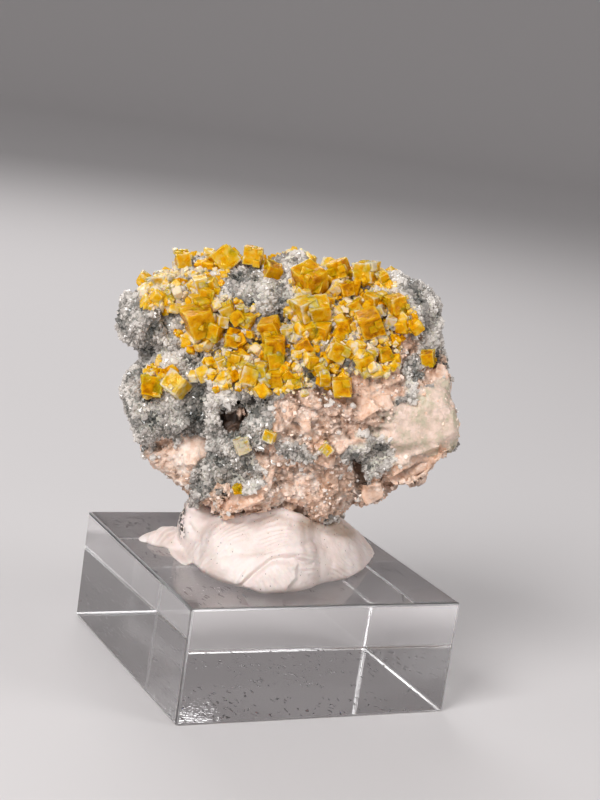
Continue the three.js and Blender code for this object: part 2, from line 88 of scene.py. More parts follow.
# %% [markdown]
# ## Camera
# The viewer looks straight at the best side, from under 20 cm. A long lens that near keeps the
# block's edges converging as they do in a close-up. The camera's own axes are the stone's u, v and
# w, so one matrix places it.

# %% Camera
VIEWPOINT = Vector((1.04, -1.56, 186.7))
LENS = 81.0


def add_object(name, data):
    thing = bpy.data.objects.new(name, data)
    bpy.context.scene.collection.objects.link(thing)
    return thing


camera = add_object("camera", bpy.data.cameras.new("camera"))
camera.data.lens = LENS
camera.data.clip_start = 0.01
camera.matrix_world = Matrix.Translation(stone_frame @ VIEWPOINT) @ stone_turns
bpy.context.scene.camera = camera
print("camera height in mm:", round(camera.matrix_world.translation.z / MM, 1))

# %% [markdown]
# ## Helpers for materials
# Each finish below is a small network of nodes. A few helpers keep them readable: one starts a
# material, one adds a node and wires its inputs in one go, one does a sum on two or three values.

# %% Node helpers
def start_material(name):
    material = bpy.data.materials.new(name)
    material.use_nodes = True
    return material, material.node_tree.nodes["Principled BSDF"]


def wire(socket, value):
    if isinstance(value, bpy.types.NodeSocket):
        socket.id_data.links.new(value, socket)
    else:
        socket.default_value = value


def set_sockets(node, values):
    for name, value in values.items():
        wire(node.inputs[name], value)


def add_node(material, kind, settings=(), **inputs):
    node = material.node_tree.nodes.new("ShaderNode" + kind)
    for key, value in dict(settings).items():
        setattr(node, key, value)
    set_sockets(node, inputs)
    return node


def maths(material, operation, *values, kind="Math", output=0):
    node = add_node(material, kind, {"operation": operation})
    set_sockets(node, dict(enumerate(values)))
    return node.outputs[output]

# %% Colours, bumps, noise and cells in a material
def ramp(material, factor, stops):
    node = add_node(material, "ValToRGB", Fac=factor)
    band = node.color_ramp
    while len(band.elements) < len(stops):
        band.elements.new(0.5)
    for element, (place, colour) in zip(band.elements, stops):
        element.position = place
        element.color = (*colour, 1)
    return node.outputs["Color"]


def mix_colour(material, factor, first, second):
    node = add_node(material, "Mix", {"data_type": "RGBA"})
    set_sockets(node, {0: factor, 6: first, 7: second})
    return node.outputs[2]


def add_bump(material, height, depth):
    node = add_node(material, "Bump", Height=height, Distance=depth, Strength=1.0)
    wire(material.node_tree.nodes["Principled BSDF"].inputs["Normal"], node.outputs[0])


def place_on(material):
    return add_node(material, "TexCoord").outputs["Object"]


def grain(material, size, detail=3.0):
    return add_node(
        material, "TexNoise", Vector=place_on(material), Scale=1 / size, Detail=detail
    ).outputs[0]


def cells_of(material, size):
    return add_node(material, "TexVoronoi", Vector=place_on(material), Scale=1 / size)


def attribute(material, name):
    return add_node(material, "Attribute", {"attribute_name": name}).outputs["Fac"]

# %% [markdown]
# ## Helpers for meshes
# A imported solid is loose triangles. Its copy is merged, then remeshed on an even grid, because an
# even mesh takes fine relief everywhere. Sculpting the coarse solid by hand would lose its shape.

# %% Mesh helpers
def merged(node):
    shape = bmesh.new()
    shape.from_mesh(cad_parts[node].data)
    bmesh.ops.remove_doubles(shape, verts=shape.verts, dist=0.001 * MM)
    return shape


def unit_cube():
    shape = bmesh.new()
    bmesh.ops.create_cube(shape, size=1)
    return shape


def mesh_of(shape, name):
    mesh = bpy.data.meshes.new(name)
    shape.to_mesh(mesh)
    return mesh


def new_piece(name, mesh, material):
    piece = add_object(name, mesh)
    mesh.materials.clear()
    mesh.materials.append(material)
    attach(piece, "root")
    return piece


def remeshed(shape, cell, name):
    carrier = add_object(name, mesh_of(shape, name))
    grid = carrier.modifiers.new("grid", "REMESH")
    grid.mode = "VOXEL"
    grid.voxel_size = cell
    final = carrier.evaluated_get(bpy.context.evaluated_depsgraph_get())
    fine = bpy.data.meshes.new_from_object(final)
    bpy.data.objects.remove(carrier)
    return fine


def soften(mesh, rounds):
    """Take the steps of the grid off a mesh, then halve its cells"""
    shape = bmesh.new()
    shape.from_mesh(mesh)
    for _ in range(rounds):
        bmesh.ops.smooth_vert(
            shape, verts=shape.verts, factor=0.5, use_axis_x=True, use_axis_y=True, use_axis_z=True
        )
    bmesh.ops.subdivide_edges(shape, edges=shape.edges, cuts=1, use_grid_fill=True)
    shape.to_mesh(mesh)
    shape.free()
    mesh.shade_smooth()


def bevel(shape, edges, offset, segments):
    return bmesh.ops.bevel(
        shape, geom=edges, affect="EDGES", offset=offset, segments=segments, profile=0.5, material=-1
    )["faces"]

# %% Places, normals and values of a mesh
def places_of(mesh):
    flat = np.empty(len(mesh.vertices) * 3)
    mesh.vertices.foreach_get("co", flat)
    return flat.reshape(-1, 3)


def normals_of(mesh):
    flat = np.empty(len(mesh.vertices) * 3)
    mesh.vertex_normals.foreach_get("vector", flat)
    return flat.reshape(-1, 3)


def put_places(mesh, places):
    mesh.vertices.foreach_set("co", np.ascontiguousarray(places, dtype=np.float64).ravel())
    mesh.update()


def put_attribute(mesh, name, values, domain="POINT"):
    layer = mesh.attributes.new(name, "FLOAT", domain)
    layer.data.foreach_set("value", np.ascontiguousarray(values, dtype=np.float32))


def in_stone(places):
    return places @ np.array(to_stone.to_3x3()).T + np.array(to_stone.translation)


def from_stone(places):
    return places @ np.array(stone_frame.to_3x3()).T + np.array(stone_frame.translation)

# %% [markdown]
# ## What covers the rock where
# The host rock is pink and granular. Grey quartz druse has grown over its upper and left parts, and
# a pale green crust lies on the slab at the right. A painted map could say so, but patches named by
# their place in millimetres are easier to read and to move. Noise makes their borders ragged.

# %% Patches of each covering
# across, up, reach, strength; a negative strength takes the covering away
PINK_PATCHES = [
    (2.0, -4.5, 4.6, 1.0), (6.0, -2.6, 3.2, 1.0), (9.6, 0.6, 3.0, 1.0), (10.0, -3.2, 1.5, 1.0),
    (11.6, 4.2, 2.1, 1.0), (15.6, 1.0, 2.2, 1.0), (-12.6, -8.4, 3.2, 1.0), (-7.0, -13.0, 3.0, 1.0),
    (-2.0, -12.6, 3.6, 1.0), (3.0, -10.6, 4.2, 1.0), (8.8, -10.8, 3.0, 1.0), (13.6, -9.2, 3.2, 1.0),
    (16.2, -7.6, 1.4, 1.0), (4.8, 1.4, 1.8, 0.6), (-2.2, -8.2, 2.2, 0.75), (-0.3, -6.9, 1.2, -0.9),
    (1.4, -7.1, 1.2, -0.8), (-4.4, -10.2, 1.3, -0.6), (8.6, -7.2, 2.3, -0.9),
    (-3.4, -3.4, 1.6, -0.9), (-8.7, -10.3, 1.5, -0.9), (-11.6, -11.0, 1.6, 1.0),
]
GREEN_PATCHES = [
    (12.7, -5.3, 3.5, 1.0), (15.4, -3.4, 2.4, 1.0), (9.8, -4.9, 1.9, 0.8), (16.9, -5.2, 1.9, 1.0),
    (15.8, -0.8, 1.6, 0.9), (8.8, -7.3, 1.9, -0.9), (8.6, -2.3, 1.7, -0.9), (12.4, -9.6, 1.7, -1.0),
    (15.4, -8.2, 1.5, -1.0),
]
CLEAVED_PATCHES = [
    (-10.6, -7.3, 2.0, 1.0), (-4.6, -11.4, 2.4, 0.9), (13.6, -8.6, 2.6, 0.4),
    (11.4, -9.8, 1.5, 0.5), (-13.6, -7.8, 1.6, 0.7), (-12.0, -9.8, 1.4, 0.5), (9.6, -1.2, 1.8, 0.6),
    (15.8, 0.0, 1.6, 0.6), (1.6, -11.4, 1.5, 0.5),
]
# Cream druse; some of these patches also lighten druse that lies in shade under overhangs and in
# hollows, which is painted light
CREAM_AND_LIT_PATCHES = [
    (-7.2, -1.4, 2.6, 0.7), (-12.4, 3.6, 2.2, 0.8), (-6.6, 2.0, 3.4, 0.8), (-11.6, 11.2, 2.4, 0.7),
    (0.2, 12.6, 2.6, 1.0), (-9.4, 4.0, 2.0, 0.8), (9.8, 9.8, 2.0, 0.7), (12.4, 9.8, 2.0, 0.6),
    (14.2, 7.4, 2.2, 0.7), (15.0, 4.6, 1.6, 0.6), (-2.6, 9.6, 1.8, 0.6), (7.2, 0.6, 1.4, 0.8),
    (-4.4, -7.2, 1.3, 0.9), (-3.8, -9.2, 2.0, 0.7), (1.6, -6.6, 1.0, 0.8), (9.6, -6.6, 2.4, 0.9),
    (7.0, -6.8, 1.3, 0.8), (13.1, -0.3, 1.2, 0.8), (7.8, -5.8, 1.6, 0.7), (-7.4, -9.8, 1.3, 0.5),
    (-13.4, -3.2, 2.4, 0.4),
]
BAND_PATCHES = [
    (-13.6, 9.6, 2.0, 0.7), (-9.4, 9.6, 2.6, 0.9), (-8.6, 6.4, 2.6, 1.0), (-5.6, 6.6, 2.2, 0.9),
    (-5.4, 3.6, 2.2, 0.8), (-4.2, 1.8, 2.3, 1.0), (-1.6, 3.6, 2.4, 1.0), (0.6, 1.6, 2.2, 1.0),
    (2.6, 4.4, 2.6, 1.0), (2.6, 7.8, 2.6, 0.9), (6.4, 5.4, 2.6, 1.0), (6.6, 8.8, 2.6, 0.8),
    (9.6, 7.8, 2.3, 0.9), (10.8, 7.0, 1.8, 0.9), (10.0, 4.6, 1.7, 0.8), (8.6, 2.8, 1.8, 0.9),
    (4.8, 1.0, 1.8, 0.8), (-7.4, 1.6, 1.8, 0.6), (-13.2, 0.4, 1.3, 0.6), (-4.6, 4.9, 0.8, -0.9),
    (1.0, 2.2, 0.7, -0.7), (5.6, 2.4, 0.9, -0.8), (7.9, 4.5, 0.7, -0.7), (3.5, 4.5, 0.6, -0.8),
]
# Dented pits painted near black: painted shade in the pits, the canyon and under the ledge
SHADED_PIT_PATCHES = [
    (-10.0, -2.4, 1.1, 0.4), (-9.4, -4.6, 0.9, 0.5), (-5.9, -3.4, 1.2, 1.0), (-0.2, 6.8, 0.8, 1.0),
    (-7.6, 3.3, 1.0, 0.7), (-4.4, 3.1, 0.9, 0.5), (-3.2, -1.8, 1.3, 0.5), (3.6, -0.9, 0.8, 0.5),
    (6.9, -10.2, 0.8, 0.35), (-10.3, -5.4, 0.6, 0.8), (11.2, 4.5, 0.35, 0.9),
    (12.4, 3.4, 0.25, 0.8), (13.1, 2.4, 0.4, 1.0), (13.8, 5.7, 0.9, 0.4), (8.7, -4.5, 0.4, 0.9),
    (-0.4, -9.2, 0.45, 0.6), (1.7, -9.0, 0.4, 0.6), (6.9, -1.7, 0.5, 0.6), (13.6, -9.0, 1.8, 0.2),
    (8.6, -11.4, 1.3, 0.15),
]
print("patches of pink rock:", len(PINK_PATCHES), "of crystals:", len(BAND_PATCHES))

# %% Clefts of the best side
# points across and up, width, depth
CLEFTS = [
    ([(-9.3, 3.2), (-9.7, 0.9), (-9.3, -1.6), (-9.1, -3.4), (-9.6, -4.6)], 0.6, 0.9),
    ([(-9.4, -3.4), (-10.9, -4.9), (-11.9, -5.4), (-13.6, -6.5), (-15.4, -6.3)], 0.24, 0.65),
    ([(-16.6, 2.8), (-14.2, 3.5), (-12.3, 3.6), (-10.9, 4.6)], 0.6, 1.0),
    ([(-12.4, 4.2), (-12.6, 6.4), (-13.0, 8.6)], 0.5, 0.8),
    ([(-9.2, -5.8), (-9.0, -8.0), (-9.3, -10.2)], 0.4, 0.8),
    ([(-8.4, -12.4), (-6.2, -10.6), (-3.4, -9.4)], 0.35, 0.6),
    ([(6.2, -4.0), (8.2, -4.4), (10.0, -4.9)], 0.35, 0.6),
    ([(6.8, -8.2), (7.4, -9.8), (7.0, -11.6)], 0.5, 1.1),
    ([(3.0, -0.6), (4.4, -1.6), (5.8, -1.2)], 0.35, 0.6),
    ([(9.8, -9.9), (10.4, -11.0)], 0.4, 0.6),
    ([(10.8, -10.1), (13.4, -8.6), (16.8, -6.8)], 0.24, 0.6),
    ([(11.0, -11.2), (13.8, -9.7), (16.4, -8.0)], 0.24, 0.6),
    ([(-4.4, 3.2), (-3.0, 4.9), (-0.6, 6.8), (-1.4, 8.4)], 0.5, 0.9),
    ([(-8.6, 3.0), (-7.2, 3.6), (-6.6, 4.4)], 0.5, 0.9),
    ([(-1.0, -11.0), (1.6, -9.6), (4.4, -9.4)], 0.3, 0.4),
    ([(6.2, 3.4), (7.0, 4.8), (9.6, 4.9)], 0.4, 0.6),
    ([(9.8, 1.6), (12.2, 1.2), (14.4, 0.2)], 0.35, 0.5),
]
print("clefts:", len(CLEFTS))

# %% Flat breaks of the best side
# corners clockwise, slope to the right, slope upwards, lift
FLAT_BREAKS = [
    (
        [(-11.7, -6.0), (-10.6, -5.3), (-9.1, -5.6), (-9.0, -7.6), (-9.5, -8.6), (-11.0, -8.6)],
        0.25, -0.15, 0.3,
    ),
    ([(-7.6, -10.9), (-5.4, -11.1), (-5.4, -13.8), (-7.3, -14.1)], 0.35, 0.1, 0.1),
    ([(-5.4, -11.6), (-2.9, -10.9), (-2.1, -11.9), (-5.2, -13.1)], 0.1, -0.8, 0.1),
    ([(-5.2, -13.1), (-2.3, -12.0), (-2.1, -13.3), (-4.7, -13.7)], 0.1, 0.5, 0.1),
    ([(7.1, -10.3), (9.8, -10.1), (10.0, -11.9), (7.9, -12.8), (7.1, -11.9)], -0.2, 0.4, 0.2),
    ([(15.2, 3.1), (16.2, 2.4), (16.8, 0.7), (16.5, -0.7), (15.6, -0.3), (14.9, 1.6)], -0.6, 0.0, 0.2),
    ([(6.4, -1.3), (8.5, -1.1), (9.8, -2.6), (7.3, -4.0)], 0.5, -0.3, 0.1),
    ([(8.5, -1.1), (10.6, -0.7), (11.2, -2.4), (9.8, -2.8)], -0.4, -0.3, 0.1),
    ([(1.0, -3.6), (2.3, -3.4), (2.5, -5.0), (1.2, -5.3)], 0.3, 0.3, 0.2),
    ([(4.8, -5.7), (7.9, -5.3), (8.1, -6.1), (5.2, -6.5)], 0.0, 0.5, 0.25),
]
LEDGE_BREAKS = [
    ([(10.2, -9.2), (16.4, -5.8), (17.2, -6.8), (11.0, -10.4)], -0.1, -0.3, 0.8),
    ([(10.4, -9.8), (17.2, -6.3), (16.8, -8.6), (13.6, -10.8), (10.6, -12.4)], -0.1, 0.35, 0.8),
]
SLAB = [
    (8.6, -4.2), (11.4, -2.8), (14.1, -1.5), (17.8, -2.0),
    (18.2, -6.6), (15.6, -6.8), (11.4, -8.8), (9.4, -5.6),
]
SHARP_HOLE = [(-5.3, -1.2), (-4.3, -2.8), (-6.4, -5.4), (-7.6, -3.5)]
print("flat breaks:", len(FLAT_BREAKS) + len(LEDGE_BREAKS))

# %% How near a place is to an outline, a route or a patch
def depth_inside(places, corners):
    """How far each place is inside an outline whose corners run clockwise"""
    depth = np.full(len(places), np.inf)
    for (x0, y0), (x1, y1) in zip(corners, corners[1:] + corners[:1]):
        inwards = np.array([y1 - y0, x0 - x1]) / np.hypot(x1 - x0, y1 - y0)
        depth = np.minimum(depth, (places[:, :2] - (x0, y0)) @ inwards)
    return depth


def cleft_share(places, route, width):
    nearest = np.full(len(places), np.inf)
    for (x0, y0), (x1, y1) in zip(route, route[1:]):
        run = np.array([x1 - x0, y1 - y0])
        away = places[:, :2] - (x0, y0)
        along = np.clip(away @ run / (run @ run), 0, 1)
        nearest = np.minimum(nearest, np.linalg.norm(away - along[:, None] * run, axis=1))
    return np.exp(-((nearest / width) ** 2))


def patch_cover(places, patches):
    bare = np.ones(len(places))
    taken = np.zeros(len(places))
    for across, up, reach, strength in patches:
        away = ((places[:, 0] - across) ** 2 + (places[:, 1] - up) ** 2) / reach**2
        share = abs(strength) * np.exp(-(away**2))
        if strength > 0:
            bare *= 1 - share
        else:
            taken = np.maximum(taken, share)
    return (1 - bare) * (1 - taken)


def ease(values, low, high):
    part = np.clip((values - low) / (high - low), 0, 1)
    return part * part * (3 - 2 * part)


def as_seen(places):
    """Each place, carried along the line of sight onto the plane w = 0"""
    eye = np.array(VIEWPOINT[:2])
    nearness = VIEWPOINT.z / (VIEWPOINT.z - places[:, 2:])
    return np.hstack([eye + (places[:, :2] - eye) * nearness, places[:, 2:]])


def noise_at(places, size, salt=0.0):
    return np.array([noise.noise(Vector(p) / size + Vector((salt, -salt, salt))) for p in places])


def sideways(places, size, salts):
    """A move across and up for each place, by two noises"""
    moves = [noise_at(places, size, salt) for salt in salts]
    return np.stack([*moves, np.zeros(len(places))], 1)

# %% [markdown]
# ## The host rock, its body
# The solid has the rock's lumps, pockets and breaks, but its triangles are 1 to 2 mm wide. On the
# real stone the druse is knobbly, the pink rock breaks in tilted steps and the green crust is nearly
# smooth. Displace modifiers could add this, but the three kinds of relief follow the patches, so
# each vertex is moved along its normal by an amount worked out from its place.

# %% Remesh the rock
ROCK_CELL = 0.415 * MM
ROCK_SMOOTHING = 2

rock_shape = merged("host_rock")
rock_mesh = remeshed(rock_shape, ROCK_CELL, "host_rock_surface")
soften(rock_mesh, ROCK_SMOOTHING)
print("rock vertices:", len(rock_mesh.vertices))

# %% Draw the outline out at three tips
# across, up, reach, move to the right, move upwards
TIPS = [
    (16.4, -5.6, 1.7, 0.9, -0.4),
    (13.0, -9.0, 1.9, 0.3, -1.3),
    (-14.6, -7.2, 1.5, -1.0, 0.3),
]

rock_places = in_stone(places_of(rock_mesh))
for across, up, reach, right, upwards in TIPS:
    near = np.exp(-(np.hypot(rock_places[:, 0] - across, rock_places[:, 1] - up) / reach) ** 2)
    rock_places[:, :2] += near[:, None] * (right, upwards)
put_places(rock_mesh, from_stone(rock_places))

# %% Work out the cover of every vertex
FRONT_TURN = (-0.25, 0.05)
BORDER_WANDER = 1.1
BORDER_RAGS = 0.7
GREEN_BORDER = (0.35, 0.65)
PINK_BORDER = (0.42, 0.58)
BLOTCH_SIZE = 3.2
CLEFT_WANDER = 0.35
turn_to_stone = np.array(stone_turns.to_3x3())

rock_normals = normals_of(rock_mesh) @ turn_to_stone
wander = sideways(rock_places, 1.6, (3.1, 7.7))
sight = np.array(VIEWPOINT) - rock_places
facing = np.sum(sight * rock_normals, axis=1) / np.linalg.norm(sight, axis=1)
frontness = ease(facing, *FRONT_TURN)
seen = as_seen(rock_places)
ragged = sideways(rock_places, 0.55, (13.0, 17.0))
wandered = seen + BORDER_WANDER * wander + BORDER_RAGS * ragged
blotch = noise_at(rock_places, BLOTCH_SIZE, 11.0)
far_pink = ease(-rock_places[:, 1] + 4.5 * blotch, 0.5, 3.5)
far_green = ease(blotch + 0.12 * rock_places[:, 0] - 0.08 * (rock_places[:, 1] + 4), 1.15, 1.5)
far_green *= ease(rock_places[:, 1], -7.0, -5.0)


def cover(patches, far=0.0):
    """The patches on the best side, and the value given for the far side"""
    return frontness * patch_cover(wandered, patches) + (1 - frontness) * far


green = ease(cover(GREEN_PATCHES, far_green), *GREEN_BORDER)
pink = ease(cover(PINK_PATCHES, far_pink), *PINK_BORDER) * (1 - green)
far_cream = ease(noise_at(rock_places, 2.4, 21.0), 0.25, 0.5)
cream = cover(CREAM_AND_LIT_PATCHES, far_cream)
dark = cover(SHADED_PIT_PATCHES)
band = cover(BAND_PATCHES)
far_band = (1 - frontness) * ease(rock_places[:, 1] + 2.5 * blotch, 5.0, 9.5)
far_band *= ease(rock_places[:, 0], -13.0, -10.0) * ease(rock_places[:, 0], 13.0, 9.0)
band = np.clip(band + 0.8 * far_band, 0, 1)
cleft_depth = np.zeros(len(rock_places))
for route, width, depth in CLEFTS:
    share = cleft_share(seen + CLEFT_WANDER * wander, route, width)
    cleft_depth = np.maximum(cleft_depth, depth * share)
cleft_depth *= frontness
print("cover: pink", round(pink.mean(), 2), "green", round(green.mean(), 2))

# %% Flat breaks and the sharp hole
BREAK_SOFTNESS = 0.2
LEDGE_SOFTNESS = 0.25
SLAB_SOFTNESS = 1.3
BREAK_WANDER = 0.12
HOLE_DEPTH = 1.5
HOLE_SLOPE = 0.5

flat = frontness * patch_cover(seen + 0.3 * wander, CLEAVED_PATCHES) * (pink + green)
turned_front = ease(facing, 0.0, 0.35)
turned_ledge = ease(facing, -0.5, -0.2) * ease(rock_places[:, 2], 1.0, 3.5)
breaks = [(BREAK_SOFTNESS, turned_front, *row) for row in FLAT_BREAKS]
breaks += [(LEDGE_SOFTNESS, turned_ledge, *row) for row in LEDGE_BREAKS]
breaks.append((SLAB_SOFTNESS, turned_front, SLAB, -0.25, 0.1, 0.2))
for softness, turned, corners, slope_right, slope_up, lift in breaks:
    share = ease(depth_inside(seen + BREAK_WANDER * wander, corners), -0.05, softness) * turned
    middle = np.average(rock_places, axis=0, weights=share)
    slopes = (rock_places - middle) @ (slope_right, slope_up, 0)
    rock_places[:, 2] += share * (middle[2] + lift + slopes - rock_places[:, 2])
    flat = np.maximum(flat, share * (1 - 0.5 * green))
hole_depth = depth_inside(seen, SHARP_HOLE)
hollow = ease(hole_depth, 0.0, 0.2) * frontness
rim = rock_places[(np.abs(hole_depth + 0.5) < 0.2) & (facing > 0.3)].mean(axis=0)
hole_floor = rim[2] - HOLE_DEPTH + HOLE_SLOPE * (rock_places[:, 0] - rim[0])
rock_places[:, 2] += hollow * (hole_floor - rock_places[:, 2])
flat = np.maximum(flat, 0.8 * hollow)
pink = np.maximum(pink, flat * (1 - green) * (1 - hollow))
druse = 1 - np.maximum(pink, green)
put_places(rock_mesh, from_stone(rock_places))
rock_normals = normals_of(rock_mesh) @ turn_to_stone
print("flat share of the rock:", round(flat.mean(), 3))

# %% Knobs and broken blocks
def knobs(places, size):
    nearest = np.array([noise.voronoi(Vector(p) / size)[0][0] for p in places])
    return 1 - nearest


def broken_blocks(places, size):
    """Height and tone of the tilted block under each place, and how near a crack is"""
    heights, tones, cracks = np.empty((3, len(places)))
    for i, place in enumerate(places):
        spot = Vector(place) / size
        reach, centres = noise.voronoi(spot)
        slope = noise.cell_vector(centres[0] * 7.3) - Vector((0.5, 0.5, 0.5))
        heights[i] = noise.cell(centres[0] * 5.1) - 0.5 + 1.6 * (spot - centres[0]).dot(slope)
        tones[i] = noise.cell(centres[0] * 3.7)
        cracks[i] = reach[1] - reach[0]
    return heights, tones, 1 - ease(cracks, 0.01, 0.12)

# %% Relief of the three kinds
# size across and height of each kind, in mm
LUMP_SIZE, LUMP_HEIGHT = 1.7, 0.5
KNOB_SIZE, KNOB_HEIGHT = 0.9, 0.26
STEP_SIZE, STEP_HEIGHT = 2.3, 0.46
CHIP_SIZE, CHIP_HEIGHT = 0.8, 0.22
CRUST_SIZE, CRUST_HEIGHT = 0.6, 0.09
FINE_SIZE, FINE_HEIGHT = 0.28, 0.055
KNOB_SINK = 0.13
STEP_WANDER = 0.2
PINK_LUMPS = 0.3
GREEN_LUMPS = 0.15
GREEN_STEPS = 0.16
GREEN_FLANK_STEPS = 0.54
CRACK_DEPTH = 0.1
FLAT_CALM = 0.8
PIT_DEPTH = 0.3

lumps = LUMP_HEIGHT * noise_at(rock_places, LUMP_SIZE, 2.0)
knobbly = KNOB_HEIGHT * knobs(rock_places, KNOB_SIZE) - KNOB_SINK
coarse, block_tone, crack = broken_blocks(rock_places + STEP_WANDER * wander, STEP_SIZE)
small, small_tone, small_crack = broken_blocks(rock_places, CHIP_SIZE)
stepped = STEP_HEIGHT * coarse - CRACK_DEPTH * crack + CHIP_HEIGHT * small
crusted = CRUST_HEIGHT * noise_at(rock_places, CRUST_SIZE, 5.0)
fine = FINE_HEIGHT * noise_at(rock_places, FINE_SIZE, 9.0)
green_steps = GREEN_STEPS + GREEN_FLANK_STEPS * (1 - turned_front)
print("lumps in mm:", round(lumps.min(), 2), "to", round(lumps.max(), 2))

# %% Move the rock by its relief
relief = (
    druse * (lumps + knobbly)
    + pink * (PINK_LUMPS * lumps + stepped)
    + green * (GREEN_LUMPS * lumps + green_steps * stepped + crusted)
    + fine
)
relief = relief * (1 - FLAT_CALM * flat) - PIT_DEPTH * dark - cleft_depth
# Brown marks the rock's own cracks; along the clefts and in the sharp hole it is also painted shade in
# these recesses
crack = np.maximum(0.7 * crack, 0.35 * small_crack) * pink * (1 - flat)
crack = np.maximum(crack, ease(cleft_depth, 0.3, 1.0) * pink)
crack = np.maximum(crack, hollow)
# The sharp hole is painted darker as well: painted shade in it
dark = np.maximum(dark, 0.45 * hollow)
rock_places = rock_places + relief[:, None] * rock_normals
put_places(rock_mesh, from_stone(rock_places))
# Painted light: the flat breaks at the left lie in shade under the slab and are lightened; the rest of
# the tint is each block's own tone
lit_left_breaks = flat * ease(seen[:, 0], -8.5, -9.5)
tint_and_lit_breaks = np.maximum((0.6 * block_tone + 0.4 * small_tone) * (1 - 0.5 * flat), 0.6 * lit_left_breaks)
rough = (pink + 0.3 * green) * (1 - 0.55 * flat)
covers = {
    "pink": pink, "green": green, "cream": cream, "dark": dark,
    "crack": crack, "band": band, "tint_and_lit_breaks": tint_and_lit_breaks, "rough": rough,
}
for name, values in covers.items():
    put_attribute(rock_mesh, name, values)
print("relief in mm:", round(relief.min(), 2), "to", round(relief.max(), 2))

# %% [markdown]
# ## The host rock, its finish
# Pink rock is mottled, from beige to brown in its cracks. Under the druse the rock is speckled grey.
# The green crust is paler and waxy. The cover values from the last step mix the three, and noise at
# two sizes keeps any of them from being flat.

# %% Rock colours
MOTTLE_SIZE = 1.4 * MM
SPECKLE_SIZE = 0.35 * MM
BLOCK_CONTRAST = 0.35
GRAIN_CONTRAST = 0.22
PINKS = [(0.42, (0.67, 0.40, 0.265)), (0.68, (0.85, 0.60, 0.465)), (0.96, (0.93, 0.77, 0.67))]
GREYS = [(0.3, (0.10, 0.10, 0.085)), (0.5, (0.29, 0.275, 0.245)), (0.7, (0.56, 0.53, 0.48))]
GREENS = [(0.5, (0.53, 0.465, 0.34)), (0.68, (0.70, 0.54, 0.44)), (0.9, (0.85, 0.66, 0.57))]
CREAMS = [(0.3, (0.52, 0.48, 0.38)), (0.6, (0.82, 0.77, 0.66))]
# Amber-brown rock under the crystal band, darkened as painted shade between the crystals
HONEY_AND_SHADE = (0.22, 0.14, 0.02, 1)
BROWN = (0.22, 0.125, 0.08, 1)
# Near black: painted shade in the pits and the sharp hole
SHADE_IN_PITS = (0.06, 0.036, 0.024, 1)

# %% Broken grains in a material
def broken_grains(material, size, tilt):
    """Height and tone of a surface broken into flat grains, each tilted its own way"""
    cells = cells_of(material, size)
    way = maths(material, "SUBTRACT", cells.outputs["Color"], (0.5, 0.5, 0.5), kind="VectorMath")
    away = maths(
        material, "SUBTRACT", place_on(material), cells.outputs["Position"], kind="VectorMath"
    )
    slope = maths(material, "DOT_PRODUCT", way, away, kind="VectorMath", output="Value")
    return maths(material, "MULTIPLY", slope, tilt), cells.outputs["Color"]

# %% Rock material
rock_finish, rock_shader = start_material("host_rock")
mottle = grain(rock_finish, MOTTLE_SIZE, 6.0)
speckle = grain(rock_finish, SPECKLE_SIZE, 4.0)
facets, _ = broken_grains(rock_finish, 0.7 * MM, 1.1)
fine_facets, grain_tone = broken_grains(rock_finish, 0.34 * MM, 1.0)
tinted = maths(
    rock_finish, "MULTIPLY_ADD", attribute(rock_finish, "tint_and_lit_breaks"), BLOCK_CONTRAST, mottle
)
tinted = maths(rock_finish, "MULTIPLY_ADD", grain_tone, GRAIN_CONTRAST, tinted)
base = ramp(rock_finish, speckle, GREYS)
for name, over in (
    ("cream", ramp(rock_finish, speckle, CREAMS)),
    ("pink", ramp(rock_finish, tinted, PINKS)),
    ("green", ramp(rock_finish, tinted, GREENS)),
    ("band", HONEY_AND_SHADE),
    ("crack", BROWN),
    ("dark", SHADE_IN_PITS),
):
    base = mix_colour(rock_finish, attribute(rock_finish, name), base, over)
set_sockets(rock_shader, {
    "Base Color": base,
    "Roughness": 0.4,
    "Subsurface Weight": 0.25,
    "Subsurface Radius": (1.0, 0.7, 0.5),
    "Subsurface Scale": 0.35 * MM,
})

facets = maths(rock_finish, "ADD", facets, fine_facets)
facets = maths(rock_finish, "MULTIPLY", facets, attribute(rock_finish, "rough"))
pitting = grain(rock_finish, 0.16 * MM, 4.0)
add_bump(rock_finish, maths(rock_finish, "MULTIPLY_ADD", pitting, 0.05 * MM, facets), 1.0)

rock = new_piece("host_rock_body", rock_mesh, rock_finish)
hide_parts("host_rock")

# %% [markdown]
# ## Where small grains can sit
# The druse is thousands of quartz points a third of a millimetre across. Each needs a place on the
# rock, so the rock's own vertices serve as sites: a random few are kept, one to a cell of a grid, so
# that grains crowd evenly and don't pile up.

# %% Sites, and many small shapes joined in one mesh
rock_normals = normals_of(rock_mesh) @ turn_to_stone


def sites(chance, spacing, seed):
    draw = np.random.default_rng(seed)
    kept = draw.permutation(np.flatnonzero(chance > draw.random(len(chance))))
    cells = np.floor(rock_places[kept] / spacing).astype(int)
    _, first = np.unique(cells, axis=0, return_index=True)
    return draw.permutation(kept[first])


def shape_arrays(shape):
    bmesh.ops.recalc_face_normals(shape, faces=shape.faces)
    shape.verts.index_update()
    corners = np.array([v.co[:] for v in shape.verts])
    faces = [[v.index for v in f.verts] for f in shape.faces]
    shape.free()
    return corners, faces


def standing(normal, tilt, draw):
    way = Vector(normal) + Vector(draw.normal(0, tilt, 3))
    spin = Matrix.Rotation(draw.uniform(0, 2 * pi), 3, "Z")
    return way.to_track_quat("Z", "Y").to_matrix() @ spin


